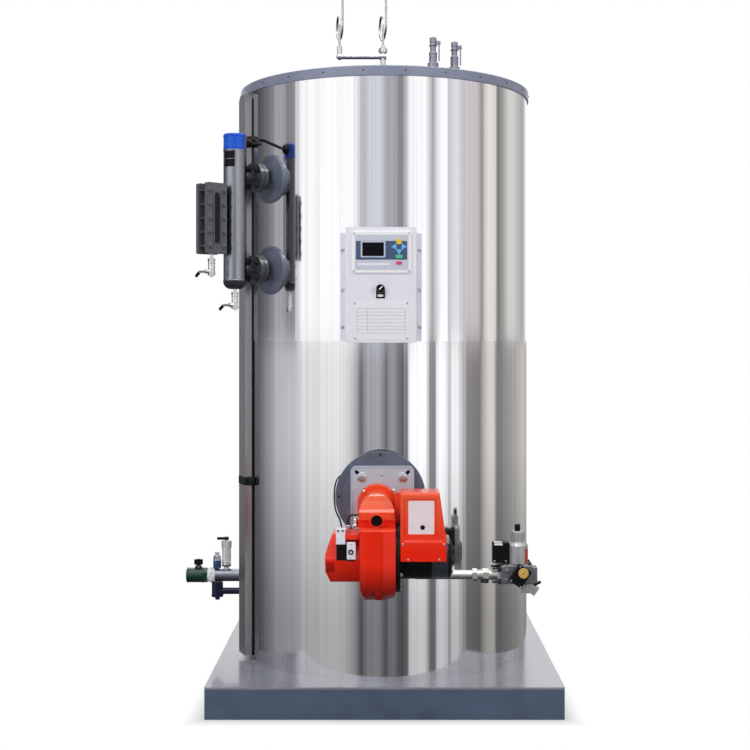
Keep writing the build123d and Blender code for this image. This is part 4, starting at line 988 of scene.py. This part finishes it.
# Each change of strength with height: from where to where, and its factor at both.
FADES = ((-0.22, -0.09, 0.5, 1.0), (-0.85, -0.3, 0.5, 1.0), (0.3, 0.75, 1.0, 2.4))
# What surfaces that don't mirror receive from all round.
SOFT_LIGHT = 0.34


def world():
    made = bpy.data.worlds.new("studio")
    bpy.context.scene.world = made
    made.use_nodes = True
    tree = made.node_tree
    tree.nodes.clear()
    looking = tree.nodes.new("ShaderNodeTexCoord").outputs["Generated"]
    height = axis_of(tree, looking, "Z")
    ahead = maths(tree, "MULTIPLY", axis_of(tree, looking, "Y"), -1)
    turn = maths(tree, "ARCTAN2", axis_of(tree, looking, "X"), ahead)
    place = maths(tree, "MULTIPLY_ADD", turn, 1 / (2 * pi), 0.5)
    low, high = (ramp(tree, place, [((a + 180) / 360, scaled(tint, v / PEAK)) for a, v, tint in panels])
                 for panels in (LOW_PANELS, HIGH_PANELS))
    colour = add(tree, "MixRGB", maths(tree, "GREATER_THAN", height, EYE_LEVEL), low, high)
    strength = PEAK
    for fade in FADES:
        strength = maths(tree, "MULTIPLY", strength, add(tree, "MapRange", height, *fade))
    mirrored = add(tree, "Background", colour, strength)
    soft = add(tree, "Background", (1, 1, 1, 1), SOFT_LIGHT)
    white = add(tree, "Background", (1, 1, 1, 1), 1.0)
    ray = tree.nodes.new("ShaderNodeLightPath").outputs
    light = add(tree, "MixShader", ray["Is Glossy Ray"], soft, mirrored)
    seen = add(tree, "MixShader", ray["Is Camera Ray"], light, white)
    tree.links.new(seen, tree.nodes.new("ShaderNodeOutputWorld").inputs["Surface"])


# Lamps, floor and camera

# Each lamp: place, aim, width and height, watts, and whether it shows in gloss only.
LAMPS = (
    ("key", (-2.6, -4.2, 4.4), (0, 0, 1.2), (2.6, 2.6), 95, False),
    ("fill", (3.4, -3.6, 2.6), (0, 0, 1.0), (2.4, 3.0), 45, False),
    ("top", (0.2, -0.4, 6.0), (0, 0, 0), (3.0, 3.0), 95, False),
    ("glint", (0.0, -2.6, 4.2), (0, -0.7, 0.7), (2.0, 0.5), 40, True),
)


def lamps():
    for name, at, aim, size, watts, glint in LAMPS:
        data = bpy.data.lights.new(name, "AREA")
        data.shape = "RECTANGLE"
        data.size, data.size_y = size
        data.energy = watts
        made = bpy.data.objects.new(name, data)
        made.location = at
        made.rotation_euler = (Vector(aim) - Vector(at)).to_track_quat("-Z", "Y").to_euler()
        made.visible_glossy = glint
        made.visible_diffuse = not glint
        bpy.context.scene.collection.objects.link(made)


FLOOR_R = 40
FLOOR_GREY, FLOOR_ROUGH = (0.66, 0.66, 0.67, 1), 0.7
# Beside the plinth the floor fades to the white of the background.
FADE_FROM, FADE_TO = 0.62, 0.74


def floor():
    data = bpy.data.meshes.new("floor")
    shape = bmesh.new()
    bmesh.ops.create_circle(shape, cap_ends=True, segments=96, radius=FLOOR_R)
    shape.to_mesh(data)
    shape.free()
    made = bpy.data.objects.new("floor", data)
    bpy.context.scene.collection.objects.link(made)
    made.visible_glossy = False
    finish = bpy.data.materials.new("floor_pale")
    finish.use_nodes = True
    tree = finish.node_tree
    shader = tree.nodes["Principled BSDF"]
    shader.inputs["Base Color"].default_value = FLOOR_GREY
    shader.inputs["Roughness"].default_value = FLOOR_ROUGH
    place = tree.nodes.new("ShaderNodeTexCoord").outputs["Object"]
    away = maths(tree, "MAXIMUM", *(maths(tree, "ABSOLUTE", axis_of(tree, place, axis)) for axis in "XY"))
    camera_ray = tree.nodes.new("ShaderNodeLightPath").outputs["Is Camera Ray"]
    share = maths(tree, "MULTIPLY", add(tree, "MapRange", away, FADE_FROM, FADE_TO), camera_ray)
    white = tree.nodes.new("ShaderNodeEmission").outputs[0]
    mixed = add(tree, "MixShader", share, shader.outputs[0], white)
    tree.links.new(mixed, tree.nodes["Material Output"].inputs["Surface"])
    data.materials.append(finish)


def camera():
    data = bpy.data.cameras.new("camera")
    data.lens, data.sensor_width = CAMERA_LENS, CAMERA_SENSOR
    data.shift_x, data.shift_y = CAMERA_SHIFT
    made = bpy.data.objects.new("camera", data)
    made.location = CAMERA_AT
    made.rotation_euler = (radians(90), 0, 0)
    bpy.context.scene.collection.objects.link(made)
    bpy.context.scene.camera = made


world()
floor()
camera()
lamps()
bpy.context.scene.view_settings.view_transform = "Standard"
